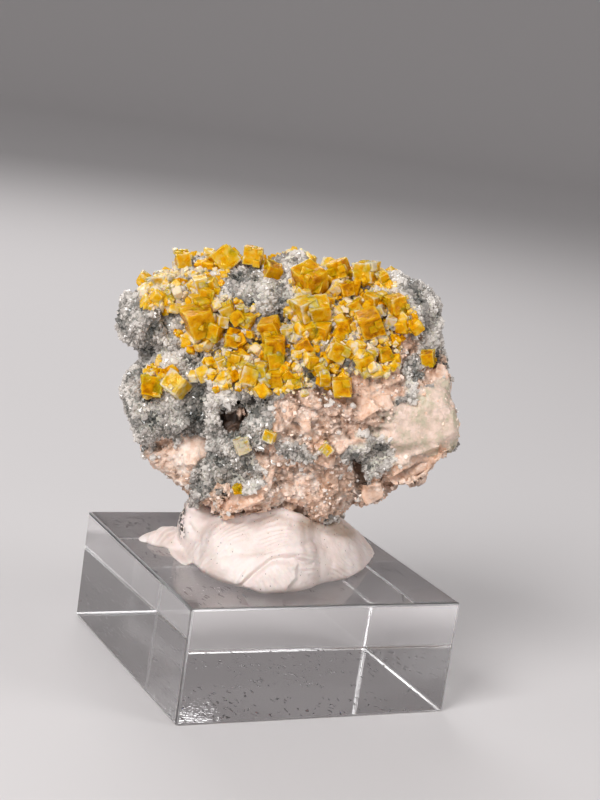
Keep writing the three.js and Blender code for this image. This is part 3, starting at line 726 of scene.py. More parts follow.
def joined(name, rows, frosted_lit_edges=0.0):
    """rows: (corners and faces of a shape, 3x3 turn and size, place, tone)"""
    corners, faces, tones, count = [], [], [], 0
    for (shape_corners, shape_faces), turn, place, tone in rows:
        corners.append(shape_corners @ np.array(turn).T + place)
        faces.extend([count + i for i in face] for face in shape_faces)
        outwards = np.sort(np.abs(shape_corners), axis=1)[:, 1]
        # Paler towards the edges: frosting, together with a painted highlight along them
        tones.append(tone - frosted_lit_edges * ease(outwards, 0.34, 0.46))
        count += len(shape_corners)
    mesh = bpy.data.meshes.new(name)
    mesh.from_pydata(from_stone(np.concatenate(corners)), [], faces)
    put_attribute(mesh, "tone", np.concatenate(tones))
    mesh.update()
    return mesh

# %% [markdown]
# ## Quartz druse
# A quartz point is a six-sided prism with a six-sided roof. A cone primitive with equal radii is the
# prism. Its top face is poked and the new point raised for the roof. Where the points stand close,
# only roofs show, so half of them are plain six-sided cones, which saves faces.

# %% Quartz points
POINT_ROOF = 0.55


def quartz_point(height):
    shape = bmesh.new()
    bmesh.ops.create_cone(
        shape, cap_ends=True, cap_tris=False, segments=6, radius1=0.5, radius2=0.5, depth=height
    )
    top = max(shape.faces, key=lambda face: face.calc_center_median().z)
    bmesh.ops.translate(shape, vec=(0, 0, -height / 2), verts=shape.verts)
    roof = bmesh.ops.poke(shape, faces=[top])["verts"]
    bmesh.ops.translate(shape, vec=(0, 0, POINT_ROOF), verts=roof)
    return shape_arrays(shape)


def quartz_roof():
    shape = bmesh.new()
    bmesh.ops.create_cone(
        shape, cap_ends=True, cap_tris=False, segments=6, radius1=0.62, radius2=0.0, depth=1.0
    )
    return shape_arrays(shape)


QUARTZ_SHAPES = [quartz_point(0.7), quartz_roof()]
print("faces of a point and of a roof:", [len(faces) for _, faces in QUARTZ_SHAPES])

# %% How the points stand, and their tones
DRUSE_SPACING = 0.34
QUARTZ_LEAST = 0.2
QUARTZ_SPREAD = 0.55
CREAM_GROWTH = 1.2
QUARTZ_LEAN = 0.45
MIDDLE_TONE = 0.63
LIT_HIGHS_SHADED_HOLLOWS = 1.3
TONE_SCATTER = 0.16
CREAM_LIGHT = 0.26
PINK_LIGHT = 0.7
CLEFT_SHADE = 0.2
PIT_SHADE = 0.4
QUARTZ_RISE = 0.1
tone_drift = 0.4 * noise_at(rock_places, 1.2, 31.0)


def quartz_rows(where, seed):
    draw = np.random.default_rng(seed)
    rows = []
    for site in where:
        growth = CREAM_GROWTH if cream[site] > 0.5 else 1
        size = QUARTZ_LEAST + QUARTZ_SPREAD * draw.beta(1.3, 3.0) * growth
        turn = standing(rock_normals[site], QUARTZ_LEAN, draw) * size
        # Painted light and shade: points on lumps and knobs are paler, points in hollows, clefts and
        # pits darker
        light = MIDDLE_TONE + tone_drift[site] + LIT_HIGHS_SHADED_HOLLOWS * (lumps[site] + knobbly[site])
        light += draw.normal(0, TONE_SCATTER) + CREAM_LIGHT * cream[site] + PINK_LIGHT * pink[site]
        deep = ease(cleft_depth[site], 0.2, 1.2) * CLEFT_SHADE + PIT_SHADE * dark[site]
        tone = float(np.clip(light - deep, 0, 1))
        place = rock_places[site] + rock_normals[site] * size * QUARTZ_RISE
        rows.append((QUARTZ_SHAPES[site % 2], turn, place, tone))
    return rows


bare = (1 - 0.65 * ease(band, 0.3, 0.7)) * (1 - ease(dark, 0.6, 0.95)) * (1 - flat)
bare *= 1 - ease(hollow, 0.0, 0.15)
druse_sites = sites((0.95 * druse**2 + 0.014 * pink) * bare, DRUSE_SPACING, 5)
near_side = rock_places[druse_sites, 2] > 0
print("quartz points:", near_side.sum(), "on the best side,", (~near_side).sum(), "on the far side")

# %% Druse material
druse_finish, druse_shader = start_material("quartz_druse")
QUARTZ = [
    (0.0, (0.045, 0.05, 0.045)),
    (0.35, (0.22, 0.215, 0.195)),
    (0.65, (0.52, 0.47, 0.43)),
    (1.0, (0.90, 0.84, 0.78)),
]
set_sockets(druse_shader, {
    "Base Color": ramp(druse_finish, attribute(druse_finish, "tone"), QUARTZ),
    "Roughness": 0.13,
    "IOR": 1.54,
    "Transmission Weight": 0.3,
})

for name, where, seed in (
    ("quartz_druse_near", druse_sites[near_side], 6),
    ("quartz_druse_far", druse_sites[~near_side], 7),
):
    new_piece(name, joined(name, quartz_rows(where, seed)), druse_finish)

# %% [markdown]
# ## Large crystals
# Chabazite grows as rhombohedra a few degrees off a cube. The largest are measured one by one: place,
# edge and three turns. Each starts as a cube, is bevelled a little, squashed along one long diagonal,
# and sunk where the line of sight meets the rock, which is how the solids were seated. Two of them
# are twins, with a second crystal grown through the first.

# %% Crystal table
# across, up, edge, tilt, turn, roll, lift in edges, tone from pale to deep amber
FRONT_CRYSTALS = [
    # On the skyline, left to right
    (-14.5, 10.3, 1.4, 20, 10, 30, 0.25, 0.35),
    (-13.3, 10.8, 1.5, 30, -15, 10, 0.25, 0.35),
    (-12.3, 10.6, 1.3, 15, 25, -20, 0.3, 0.4),
    (-12.7, 9.3, 1.3, 25, -10, 40, 0.3, 0.4),
    (-11.1, 13.1, 1.6, 20, 15, 5, 0.4, 0.6),
    (-6.9, 13.0, 2.75, -8, 14, 42, 0.3, 0.55),
    (-3.8, 13.4, 1.95, 8, -6, -6, 0.35, 0.65),
    (-1.8, 11.7, 1.9, 35, 10, -28, 0.25, 0.8),
    (2.0, 10.7, 3.1, 38, 42, 0, 0.3, 0.85),
    (5.1, 12.1, 1.9, 20, -20, 22, 0.4, 0.75),
    (8.0, 11.7, 2.2, 12, -32, 3, 0.35, 0.5),
    (9.7, 11.1, 1.2, 25, 20, 15, 0.35, 0.6),
    # Upper left
    (-9.2, 10.5, 1.5, 20, 15, 12, 0.35, 0.45),
    (-8.1, 10.5, 1.1, 35, -10, 30, 0.4, 0.5),
    (-8.4, 9.2, 1.6, 15, -20, -15, 0.3, 0.75),
    (-9.8, 8.8, 1.2, 25, 30, 5, 0.35, 0.5),
    (-9.4, 6.7, 2.9, 25, 22, 12, 0.25, 0.85),
    (-7.9, 5.7, 1.8, 10, -25, -20, 0.25, 0.7),
    (-6.5, 7.7, 1.5, 30, 10, 25, 0.35, 0.55),
    (-7.0, 6.6, 1.2, 15, 20, -10, 0.4, 0.35),
    (-5.4, 7.0, 1.5, 10, -15, 38, 0.3, 0.75),
    (-5.0, 7.7, 1.1, 30, 25, 5, 0.4, 0.3),
    (-4.4, 6.7, 1.4, 20, -30, -12, 0.3, 0.65),
    (-6.1, 4.6, 1.4, 12, 8, -8, 0.35, 0.6),
    # Middle
    (-2.0, 5.9, 2.0, 30, -15, 20, 0.3, 0.8),
    (-1.6, 3.9, 2.15, 22, 6, -4, 0.35, 0.85),
    (-1.6, 2.6, 1.7, 10, 15, 8, 0.3, 0.75),
    (-0.1, 5.5, 1.3, 25, -20, 15, 0.5, 0.25),
    (0.4, 4.8, 1.1, 5, 30, -25, 0.45, 0.15),
    (1.6, 8.0, 2.3, 25, 35, 10, 0.35, 0.5),
    (3.1, 7.9, 2.2, 45, 10, 5, 0.35, 0.6),
    (5.8, 10.0, 1.4, 15, 20, 10, 0.35, 0.8),
    (6.9, 8.1, 1.5, 18, -10, 30, 0.4, 0.55),
    (8.8, 8.7, 1.8, 30, 40, 0, 0.35, 0.65),
    (9.3, 7.6, 1.1, 10, -20, 25, 0.5, 0.15),
    (11.0, 8.4, 1.9, 15, 30, 10, 0.35, 0.75),
    (10.5, 6.5, 1.1, 20, -8, -15, 0.4, 0.1),
    (8.3, 6.4, 2.4, 28, 15, 15, 0.3, 0.9),
    (5.8, 6.2, 1.4, 15, -25, 10, 0.3, 0.8),
    (1.9, 5.7, 1.8, 35, 12, 20, 0.3, 0.6),
    (3.3, 5.6, 1.7, 30, -20, -5, 0.35, 0.6),
    (1.4, 3.9, 1.7, 10, 10, 30, 0.25, 0.9),
    (5.0, 3.6, 1.9, 20, 5, -30, 0.3, 0.7),
    (7.9, 2.2, 2.0, 20, 12, 25, 0.3, 0.7),
    (8.6, 3.2, 1.1, 30, -20, -10, 0.45, 0.2),
    (9.8, 3.2, 1.4, 15, 20, 8, 0.3, 0.8),
    (14.3, 2.8, 1.4, 20, -10, 10, 0.25, 0.75),
    # Lower edge of the yellow band
    (-7.1, 2.3, 1.1, 20, 15, 20, 0.35, 0.4),
    (-5.7, 2.6, 1.4, 12, -15, -10, 0.3, 0.65),
    (-4.7, 2.0, 1.2, 28, 20, 30, 0.35, 0.45),
    (-4.2, 1.1, 1.9, 15, 10, -20, 0.35, 0.55),
    (-3.0, 1.4, 1.7, 25, -20, 12, 0.35, 0.6),
    (-2.5, 0.4, 1.2, 10, 15, 35, 0.45, 0.1),
    (-1.4, 0.7, 1.6, 30, -8, 5, 0.25, 0.75),
    (-0.3, 0.9, 1.2, 8, 10, 45, 0.35, 0.7),
    (0.8, 0.3, 1.1, 20, -15, 15, 0.3, 0.6),
    (2.3, 2.4, 1.3, 15, 25, -12, 0.3, 0.75),
    (3.3, 1.8, 1.2, 30, -10, 25, 0.3, 0.5),
    (3.6, 0.6, 1.15, 40, 8, -4, 0.4, 0.5),
    (5.4, -0.2, 1.8, 12, -8, 6, 0.35, 0.7),
    # The pair on the left shoulder, with a small pink one between them
    (-14.4, -0.2, 2.05, -10, 8, -4, 0.3, 0.85),
    (-13.2, 0.1, 1.2, 10, -10, 10, 0.4, 0.15),
    (-11.8, 0.0, 2.2, -18, -14, -38, 0.3, 0.4),
    # Single crystals lower down
    (-2.1, -5.3, 1.2, 10, -15, -20, 0.3, 0.45),
    (3.8, -6.7, 1.1, 8, 6, 45, 0.3, 0.4),
    (-5.0, -6.3, 1.5, 15, 20, 15, 0.25, 0.04),
    (-5.4, -10.8, 0.9, 20, -10, 12, 0.4, 0.8),
]
FAR_CRYSTALS = [
    (-9.5, 10.5, 2.1, 20, 30, 10, 0.3, 0.6),
    (-7.9, 9.6, 1.5, 35, -10, 25, 0.3, 0.45),
    (-2.5, 10.8, 1.8, 15, 20, -20, 0.3, 0.7),
    (1.8, 10.2, 2.4, 30, -25, 12, 0.3, 0.8),
    (3.6, 9.4, 1.6, 10, 15, 30, 0.3, 0.3),
    (9.8, 8.6, 1.7, 25, 20, 5, 0.3, 0.7),
    (-12.4, 6.2, 1.5, 12, -20, 15, 0.3, 0.5),
    (6.6, 6.0, 1.4, 20, 10, 40, 0.3, 0.65),
    (-4.8, 5.2, 1.7, 25, 15, -12, 0.3, 0.8),
    (12.6, 3.4, 1.3, 15, -15, 22, 0.3, 0.55),
]
TWINS = [(2.0, 10.7), (-9.4, 6.7)]

# %% [markdown]
# ## Building one large crystal
# A face of a real crystal isn't a perfect plane: it is a mosaic of thin blocks that grew at slightly
# different speeds. The cube is divided, its twelve long edges are bevelled, because a knife-sharp edge
# catches no light, and each patch of a face is lifted by its own small amount.

# %% Crystal shape
SQUASH = 0.877
SQUASHING = Matrix([[(SQUASH - 1) / 3 + (i == j) for j in range(3)] for i in range(3)])
TWIN_SCALE = 0.76
TWIN_TURN = Matrix.Rotation(pi / 3, 3, Vector((1, 1, 1)).normalized())
FACE_CUTS = 6
EDGE_BEVEL = (0.03, 0.08)
SMALL_BEVEL = 0.11
MOSAIC_LIFT = 0.028
CORNER_DRIFT = 0.03
SHARP_ANGLE = radians(30)


def squashed(shape):
    bmesh.ops.transform(shape, matrix=SQUASHING.to_4x4(), verts=shape.verts)
    return shape_arrays(shape)


def rhombohedron(draw):
    shape = unit_cube()
    for vert in shape.verts:
        vert.co += Vector(draw.normal(0, CORNER_DRIFT, 3))
    bmesh.ops.subdivide_edges(shape, edges=shape.edges[:], cuts=FACE_CUTS, use_grid_fill=True)
    sharp = [edge for edge in shape.edges if edge.calc_face_angle() > SHARP_ANGLE]
    bevel(shape, sharp, draw.uniform(*EDGE_BEVEL), 2)
    shape.normal_update()
    corner = Vector(draw.uniform(0, 50, 3))
    for vert in shape.verts:
        spot = vert.co + corner
        mosaic = noise.cell(spot * 2.6) + 0.5 * noise.cell(spot * 5.3) - 0.75
        vert.co += vert.normal * MOSAIC_LIFT * mosaic
    return squashed(shape)


def small_rhomb(bevelled):
    shape = unit_cube()
    if bevelled:
        bevel(shape, shape.edges[:], SMALL_BEVEL, 1)
    return squashed(shape)


RHOMB = small_rhomb(True)
PLAIN_RHOMB = small_rhomb(False)
print("faces of a small rhomb:", len(RHOMB[1]))

# %% [markdown]
# ## Seating the large crystals
# A ray from the viewer through the crystal's place on the picture plane meets the rock. The crystal
# sits there, lifted by a share of its edge. Crystals of one packed cluster become one object, so each
# cluster's object stands for its own solid.

# %% Seats
SEAT_STEP = 0.02


def tree_of(shape):
    """The faces of a solid, in the stone's frame, for rays and for the nearest point"""
    corners = [to_stone @ vert.co for vert in shape.verts]
    faces = [[vert.index for vert in face.verts] for face in shape.faces]
    shape.free()
    return BVHTree.FromPolygons(corners, faces)


rock_tree = tree_of(rock_shape)
cluster_trees = {
    node: tree_of(merged(node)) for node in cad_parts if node.startswith("chabazite")
}


def seat(across, up, lift, from_front):
    aim = Vector((across, up, 0))
    eye = VIEWPOINT if from_front else Vector((across, up, -VIEWPOINT.z))
    pull, hit = 0.0, None
    while hit is None:
        target = aim * (1 - pull)
        hit = rock_tree.ray_cast(eye, (target - eye).normalized())[0]
        pull += SEAT_STEP
    sight = aim - eye
    return eye + sight * ((hit.z - eye.z) / sight.z) - sight.normalized() * lift


def axis_turns(tilt, turn, roll):
    return (
        Matrix.Rotation(radians(tilt), 3, "X")
        @ Matrix.Rotation(radians(turn), 3, "Y")
        @ Matrix.Rotation(radians(roll), 3, "Z")
    )


def nearest_cluster(centre):
    return min(cluster_trees, key=lambda node: cluster_trees[node].find_nearest(centre)[3])

# %% Crystal rows for each cluster
RIDERS = (2, 7)
RIDER_SIZE = (0.2, 0.5)
RIDER_SPREAD = 0.45
RIDER_LIFT = (0.02, 0.1)
RIDER_DRIFT = 0.06
RIDER_FADE = (0.05, 0.12)


def rider_rows(draw, centre, turns, edge, tone):
    """Small rhombs that stand a little out of the faces of a large one, nearly parallel to it"""
    rows = []
    for _ in range(draw.integers(*RIDERS)):
        size = draw.uniform(*RIDER_SIZE)
        off = draw.uniform(-RIDER_SPREAD, RIDER_SPREAD, 3)
        axis = draw.integers(3)
        off[axis] = draw.choice([-1, 1]) * (0.5 + draw.uniform(*RIDER_LIFT) - size / 2)
        drift = Matrix.Rotation(draw.normal(0, RIDER_DRIFT), 3, Vector(draw.normal(0, 1, 3)))
        place = centre + turns @ SQUASHING @ Vector(off) * edge
        rider = turns @ drift * (edge * size)
        faded = float(np.clip(tone - draw.normal(*RIDER_FADE), 0, 1))
        rows.append((RHOMB, rider, place, faded))
    return rows


def crystal_rows(draw, row, from_front):
    across, up, edge, tilt, turn, roll, lift, tone = row
    centre = seat(across, up, lift * edge, from_front)
    turns = axis_turns(tilt, turn if from_front else turn + 180, roll)
    rows = [(rhombohedron(draw), turns * edge, centre, tone)]
    if from_front and (across, up) in TWINS:
        twin = turns @ TWIN_TURN * edge * TWIN_SCALE
        rows.append((rhombohedron(draw), twin, centre, tone))
    return nearest_cluster(centre), rows + rider_rows(draw, centre, turns, edge, tone)


crystal_draw = np.random.default_rng(12)
clusters = {node: [] for node in cluster_trees}
for table, from_front in ((FRONT_CRYSTALS, True), (FAR_CRYSTALS, False)):
    for row in table:
        node, rows = crystal_rows(crystal_draw, row, from_front)
        clusters[node] += rows
print("crystals in clusters:", {node: len(rows) for node, rows in clusters.items() if len(rows) > 3})

# %% [markdown]
# ## White quartz points
# Here and there quartz grew free, as groups of white prisms up to a millimetre long. The point of
# the druse is used again with a longer prism, seated by the same ray as the large crystals.

# %% Long quartz points
# across, up, how many, and the way in which the group points
POINT_GROUPS = [
    (3.9, 9.5, 8, (0.1, 0.6, 0.8)),
    (5.1, 9.1, 4, (0.3, 0.4, 0.8)),
    (4.5, -1.8, 7, (0.8, -0.4, 0.6)),
    (12.8, -1.1, 4, (0.6, 0.3, 0.8)),
    (-7.3, 12.2, 4, (-0.2, 0.5, 0.8)),
    (10.9, 9.9, 4, (0.2, 0.5, 0.8)),
]
LONG_POINT = quartz_point(1.7)
LONG_POINT_SIZE = (0.2, 0.4)
LONG_POINT_LEAN = 0.35
LONG_POINT_RISE = 0.1
GROUP_WIDTH, GROUP_HEIGHT = 0.45, 0.3
point_draw = np.random.default_rng(45)
point_rows = []
for across, up, count, way in POINT_GROUPS:
    for _ in range(count):
        right = point_draw.normal(0, GROUP_WIDTH)
        upwards = point_draw.normal(0, GROUP_HEIGHT)
        place = seat(across + right, up + upwards, LONG_POINT_RISE, True)
        size = point_draw.uniform(*LONG_POINT_SIZE)
        turn = standing(way, LONG_POINT_LEAN, point_draw) * size
        point_rows.append((LONG_POINT, turn, place, 1.0))
new_piece("quartz_points", joined("quartz_points", point_rows), druse_finish)
print("long quartz points:", len(point_rows))

# %% [markdown]
# ## Amber finish
# The crystals are see-through with frosted faces. Light goes in, loses its blue on the way and comes
# out yellow to orange. Transmission with an absorbing inside does exactly that. A share of diffuse
# light under it stands for the cloudy growth zones, and each crystal's tone shifts its colour. The
# shine is tinted as well, because a white one greys the amber.

# %% Amber material
AMBERS = [
    (0.0, (0.97, 0.79, 0.57)),
    (0.25, (0.96, 0.63, 0.11)),
    (0.5, (0.93, 0.52, 0.006)),
    (0.75, (0.84, 0.39, 0.001)),
    (1.0, (0.50, 0.19, 0.001)),
]
CLOUD_SIZE = 0.7 * MM
CLOUD_SPREAD = (1.6, -0.86)


def amber_finish(name, transmission, density, glow):
    material, shader = start_material(name)
    cloud = maths(material, "MULTIPLY_ADD", grain(material, CLOUD_SIZE, 5.0), *CLOUD_SPREAD)
    toned = maths(material, "ADD", attribute(material, "tone"), cloud)
    set_sockets(shader, {
        "Base Color": ramp(material, toned, AMBERS),
        "Roughness": 0.06,
        "Transmission Weight": transmission,
        "Subsurface Weight": 0.8,
        "Subsurface Radius": (1.0, 0.8, 0.45),
        "Subsurface Scale": glow,
        "Specular IOR Level": 0.2,
        "Specular Tint": (1.0, 0.75, 0.3, 1),
        "IOR": 1.48,
    })
    if density:
        inside = add_node(material, "VolumeAbsorption", Color=(1.0, 0.67, 0.03, 1), Density=density)
        wire(material.node_tree.nodes["Material Output"].inputs["Volume"], inside.outputs[0])
    facets, _ = broken_grains(material, 0.35 * MM, 0.35)
    frost = grain(material, 0.3 * MM, 4.0)
    add_bump(material, maths(material, "MULTIPLY_ADD", frost, 0.04 * MM, facets), 1.0)
    return material


# How much paler the edges are: frosting, and a painted highlight
FROSTED_LIT_EDGES = 0.6
FROSTED_LIT_RIMS = 0.42
amber = amber_finish("chabazite_amber", 0.36, 450.0, 0.4 * MM)
for node, rows in clusters.items():
    name = node.replace("chabazite", "crystal_cluster")
    cluster_piece = new_piece(name, joined(name, rows, FROSTED_LIT_RIMS), amber)
    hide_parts(node)

# %% [markdown]
# ## Small crystals between the large ones
# Thousands of smaller rhombs fill the yellow band, from cream to amber. They get the same squash and
# a one-step bevel, 26 faces each, and are scattered on sites where the band lies.

# %% Yellow band
PALE_CORNER = (-11.0, 11.0)
GROWN_TOGETHER = 0.5
PARTNER_SIZE = (0.5, 0.8)
PARTNER_RISE = 0.2
PARTNER_DRIFT = 0.3
PARTNER_TURN = 0.3
PARTNER_FADE = 0.1
CORNER_FADE = 0.25
SEAT_LIFT = (0.0, 0.35)
LEAST_TONE = 0.05
HOLLOWS_SHADED_HIGHS_LIT = 0.9
small_drift = 0.5 * noise_at(rock_places, 2.2, 41.0)
near_corner = ease(np.hypot(*(seen[:, :2] - PALE_CORNER).T), 7.0, 2.0)


def rhomb_rows(where, smallest, largest, middle, spread, seed):
    draw = np.random.default_rng(seed)
    rows = []
    for site in where:
        size = smallest + (largest - smallest) * draw.power(0.7)
        turn = standing(draw.normal(0, 1, 3), 0, draw) * size
        place = rock_places[site] + rock_normals[site] * size * draw.uniform(*SEAT_LIFT)
        tone = draw.normal(middle, spread) + small_drift[site] - CORNER_FADE * near_corner[site]
        # Painted shade and light: crystals in hollows are deeper amber, those on lumps paler
        tone -= HOLLOWS_SHADED_HIGHS_LIT * (lumps[site] + knobbly[site])
        rows.append((RHOMB, turn, place, float(np.clip(tone, LEAST_TONE, 1))))
        if draw.random() < GROWN_TOGETHER:
            off = rock_normals[site] * PARTNER_RISE + draw.normal(0, PARTNER_DRIFT, 3)
            aside = Matrix.Rotation(draw.normal(0, PARTNER_TURN), 3, "X")
            partner = turn @ aside * draw.uniform(*PARTNER_SIZE)
            partner_tone = float(np.clip(tone - PARTNER_FADE, LEAST_TONE, 1))
            rows.append((RHOMB, partner, place + off * size, partner_tone))
    return rows


small_amber = amber_finish("chabazite_small", 0.22, 0.0, 0.07 * MM)
SMALL_KINDS = {
    # least band, spacing, share of sites, smallest, largest, middle tone, spread of tone
    "chabazite_infill": (0.2, 1.0, 0.54, 0.6, 1.35, 0.72, 0.16),
    "chabazite_small": (0.15, 0.62, 0.48, 0.3, 0.75, 0.55, 0.24),
    "chabazite_pale": (0.06, 0.6, 0.34, 0.2, 0.5, 0.14, 0.1),
}
for seed, (name, row) in enumerate(SMALL_KINDS.items(), 15):
    least, spacing, share, smallest, largest, middle, spread = row
    where = sites(ease(band, least, least + 0.35) * (1 - 0.45 * near_corner), spacing, seed)
    where = where[: int(share * len(where))]
    rows = rhomb_rows(where, smallest, largest, middle, spread, seed)
    new_piece(name, joined(name, rows, FROSTED_LIT_EDGES), small_amber)
    print(name, len(rows))

# %% [markdown]
# ## Grains of the pink rock
# The pink rock crumbles into blocky grains with shiny breaks. They are the same rhomb shape, a quarter
# of a millimetre long, tilted every way, in the colours of the rock. So small, they need no bevels.

# %% Pink grains
GRAIN_SPACING = 0.45
GRAIN_SIZE = (0.15, 0.42)
GRAIN_LEAN = 0.6
GRAIN_STRETCH = (0.5, 1.2)
GRAIN_SINK = 0.2
GRAIN_TONE = (0.55, 1.0)
grain_finish, grain_shader = start_material("rock_grains")
set_sockets(grain_shader, {
    "Base Color": ramp(grain_finish, attribute(grain_finish, "tone"), PINKS),
    "Roughness": 0.4,
})
grain_sites = sites((0.08 * pink + 0.02 * green) * (1 - flat) * (1 - band), GRAIN_SPACING, 25)


def grain_rows(where, seed):
    draw = np.random.default_rng(seed)
    rows = []
    for site in where:
        size = draw.uniform(*GRAIN_SIZE)
        turn = standing(rock_normals[site], GRAIN_LEAN, draw) * size
        turn = turn @ Matrix.Diagonal(Vector(draw.uniform(*GRAIN_STRETCH, 3)))
        place = rock_places[site] - rock_normals[site] * size * GRAIN_SINK
        rows.append((PLAIN_RHOMB, turn, place, draw.uniform(*GRAIN_TONE)))
    return rows


grain_mesh = joined("rock_grains", grain_rows(grain_sites, 26))
new_piece("rock_grains", grain_mesh, grain_finish)
print("rock grains:", len(grain_sites))

# %% [markdown]
# ## Mounting putty
# The putty was rolled, set on the block and pressed with the stone. The solids keep a small gap
# round it, so its foot is brought down onto the block and its top swells up into the rock. It is
# remeshed finely enough to take folds and the ridges that thumbs left in it.

# %% Putty lumps
# centre over the block, half sizes in mm and turn in degrees of lumps and smears beside the pad
BLOCK_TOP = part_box("acrylic_block")[1].z
SMEARS = [
    ((-9.4, 6.6, 0.0), (3.9, 1.7, 0.34), 30),
    ((-10.1, 0.4, 0.0), (1.0, 3.3, 0.3), -8),
    ((-8.6, 3.6, 0.0), (2.2, 3.4, 0.5), 0),
    ((-7.7, 1.8, 2.5), (2.2, 2.4, 2.9), 0),
    ((-9.2, 4.9, 0.2), (3.2, 1.9, 1.3), 25),
]
PUTTY_CELL = 0.25 * MM
PUTTY_SMOOTHING = 3

putty_shape = merged("mounting_putty")
putty_foot, putty_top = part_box("mounting_putty")[0].z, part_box("mounting_putty")[1].z
stretch = (putty_top - BLOCK_TOP) / (putty_top - putty_foot)
for vert in putty_shape.verts:
    vert.co.z = putty_top - (putty_top - vert.co.z) * stretch
for centre, half_sizes, turn in SMEARS:
    place = Matrix.Translation(Vector(centre) * MM + Vector((0, 0, BLOCK_TOP)))
    size = Matrix.Diagonal(Vector((*half_sizes, 1 / MM)) * MM)
    bmesh.ops.create_uvsphere(
        putty_shape, u_segments=24, v_segments=12, radius=1,
        matrix=place @ Matrix.Rotation(radians(turn), 4, "Z") @ size,
    )
putty_mesh = remeshed(putty_shape, PUTTY_CELL, "mounting_putty_surface")
putty_shape.free()
soften(putty_mesh, PUTTY_SMOOTHING)
print("putty vertices:", len(putty_mesh.vertices))

# %% Folds and thumb ridges
# as seen: the outline of a lip, and folds as points across and up, width and depth
LIP = [
    (-5.0, -20.9), (-3.4, -19.2), (-1.8, -18.1), (1.0, -18.3),
    (0.9, -20.2), (-0.5, -21.6), (-2.9, -21.8),
]
LIP_SWELL = 0.5
LIP_SLANT = (0.79, 0.61)
FOLDS = [
    ([(-5.2, -21.0), (-3.5, -19.3), (-1.9, -18.1), (0.6, -17.9), (2.2, -18.6)], 0.22, 0.42),
    ([(-8.6, -17.9), (-5.4, -17.4), (-1.6, -17.2), (2.6, -16.2)], 0.3, 0.14),
    ([(3.4, -15.1), (6.2, -15.6), (8.8, -16.9)], 0.35, 0.2),
    ([(-10.4, -14.6), (-9.4, -16.2), (-9.8, -18.0)], 0.3, 0.2),
]
ROLL_HEIGHT = 0.2
DENT_HEIGHT = 0.06
RIDGE_PERIOD = 0.47
RIDGE_HEIGHT = 0.04
RIDGE_CENTRE = (1.0, -26.5)
ROCK_REACH = 0.9
ROCK_SWELL = 0.42

places = places_of(putty_mesh)
normals = normals_of(putty_mesh)
local = places / MM
beside_stone = in_stone(places)
putty_seen = as_seen(beside_stone)
sight = np.array(VIEWPOINT) - beside_stone
putty_front = ease(np.sum(sight * (normals @ turn_to_stone), axis=1) / VIEWPOINT.z, -0.1, 0.2)
exposed = ease(local[:, 2] - BLOCK_TOP / MM, 0.1, 0.7)
warp = noise_at(local, 2.6, 1.0)
on_lip = ease(depth_inside(putty_seen, LIP), 0.0, 0.7) * putty_front
thumb = np.hypot(*(putty_seen[:, :2] - RIDGE_CENTRE).T) + 0.6 * warp
slant = putty_seen[:, :2] @ LIP_SLANT + 0.3 * warp
ridges = np.sin(2 * pi * (thumb + on_lip * (slant - thumb)) / RIDGE_PERIOD)
ridge_cover = np.maximum(ease(noise_at(local, 3.4, 14.0), -0.3, 0.15), on_lip)
rolling = ROLL_HEIGHT * noise_at(local, 2.4, 4.0) + DENT_HEIGHT * noise_at(local, 0.8, 6.0)
wavering = putty_seen + 0.2 * noise_at(local, 1.0)[:, None]
creases = np.zeros(len(places))
for route, width, depth in FOLDS:
    creases = np.maximum(creases, depth * cleft_share(wavering, route, width))
near_rock = np.array([rock_tree.find_nearest(Vector(p))[3] for p in beside_stone])
touch = ease(ROCK_REACH - near_rock, 0, ROCK_REACH - 0.35)
move = exposed * (rolling + RIDGE_HEIGHT * ridges * ridge_cover * (1 - touch))
move += LIP_SWELL * on_lip - exposed * creases * putty_front + ROCK_SWELL * touch
places = places + (move * MM)[:, None] * normals
places[:, 2] = np.maximum(places[:, 2], BLOCK_TOP)
put_places(putty_mesh, places)

# %% Putty material
DIRT_ROUTE = [(-10.9, -12.6), (-11.4, -14.0), (-11.2, -15.6)]
RESIDUE_ROUTE = [(1.6, -14.4), (4.2, -14.6), (6.2, -15.4)]
put_attribute(putty_mesh, "dirt", cleft_share(putty_seen, DIRT_ROUTE, 0.32) * putty_front)
put_attribute(putty_mesh, "residue", cleft_share(putty_seen, RESIDUE_ROUTE, 0.8) * putty_front)
putty_finish, putty_shader = start_material("mounting_putty")
WHITES = [(0.35, (0.66, 0.545, 0.50)), (0.6, (0.80, 0.70, 0.66))]
SPECK = (0.16, 0.12, 0.10, 1)
SOIL = (0.03, 0.022, 0.018, 1)
RESIDUE = (0.42, 0.31, 0.24, 1)


def below(material, value, limit):
    return maths(material, "LESS_THAN", value, limit)


def dots(material, size, reach):
    return below(material, cells_of(material, size).outputs["Distance"], reach)


white = ramp(putty_finish, grain(putty_finish, 3.0 * MM, 5.0), WHITES)
stained = mix_colour(putty_finish, attribute(putty_finish, "residue"), white, RESIDUE)
stained = mix_colour(putty_finish, dots(putty_finish, 0.6 * MM, 0.09), stained, SPECK)
crumbs = dots(putty_finish, 0.4 * MM, 0.6)
soil = maths(putty_finish, "MULTIPLY", attribute(putty_finish, "dirt"), crumbs)
set_sockets(putty_shader, {
    "Base Color": mix_colour(putty_finish, soil, stained, SOIL),
    "Roughness": 0.55,
    "Subsurface Weight": 0.2,
    "Subsurface Scale": 0.6 * MM,
})
pits = dots(putty_finish, 0.38 * MM, 0.2)
pitted = maths(putty_finish, "MULTIPLY_ADD", pits, -0.35, grain(putty_finish, 0.3 * MM, 6.0))
add_bump(putty_finish, pitted, 0.06 * MM)
putty = new_piece("mounting_putty_pad", putty_mesh, putty_finish)
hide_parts("mounting_putty")

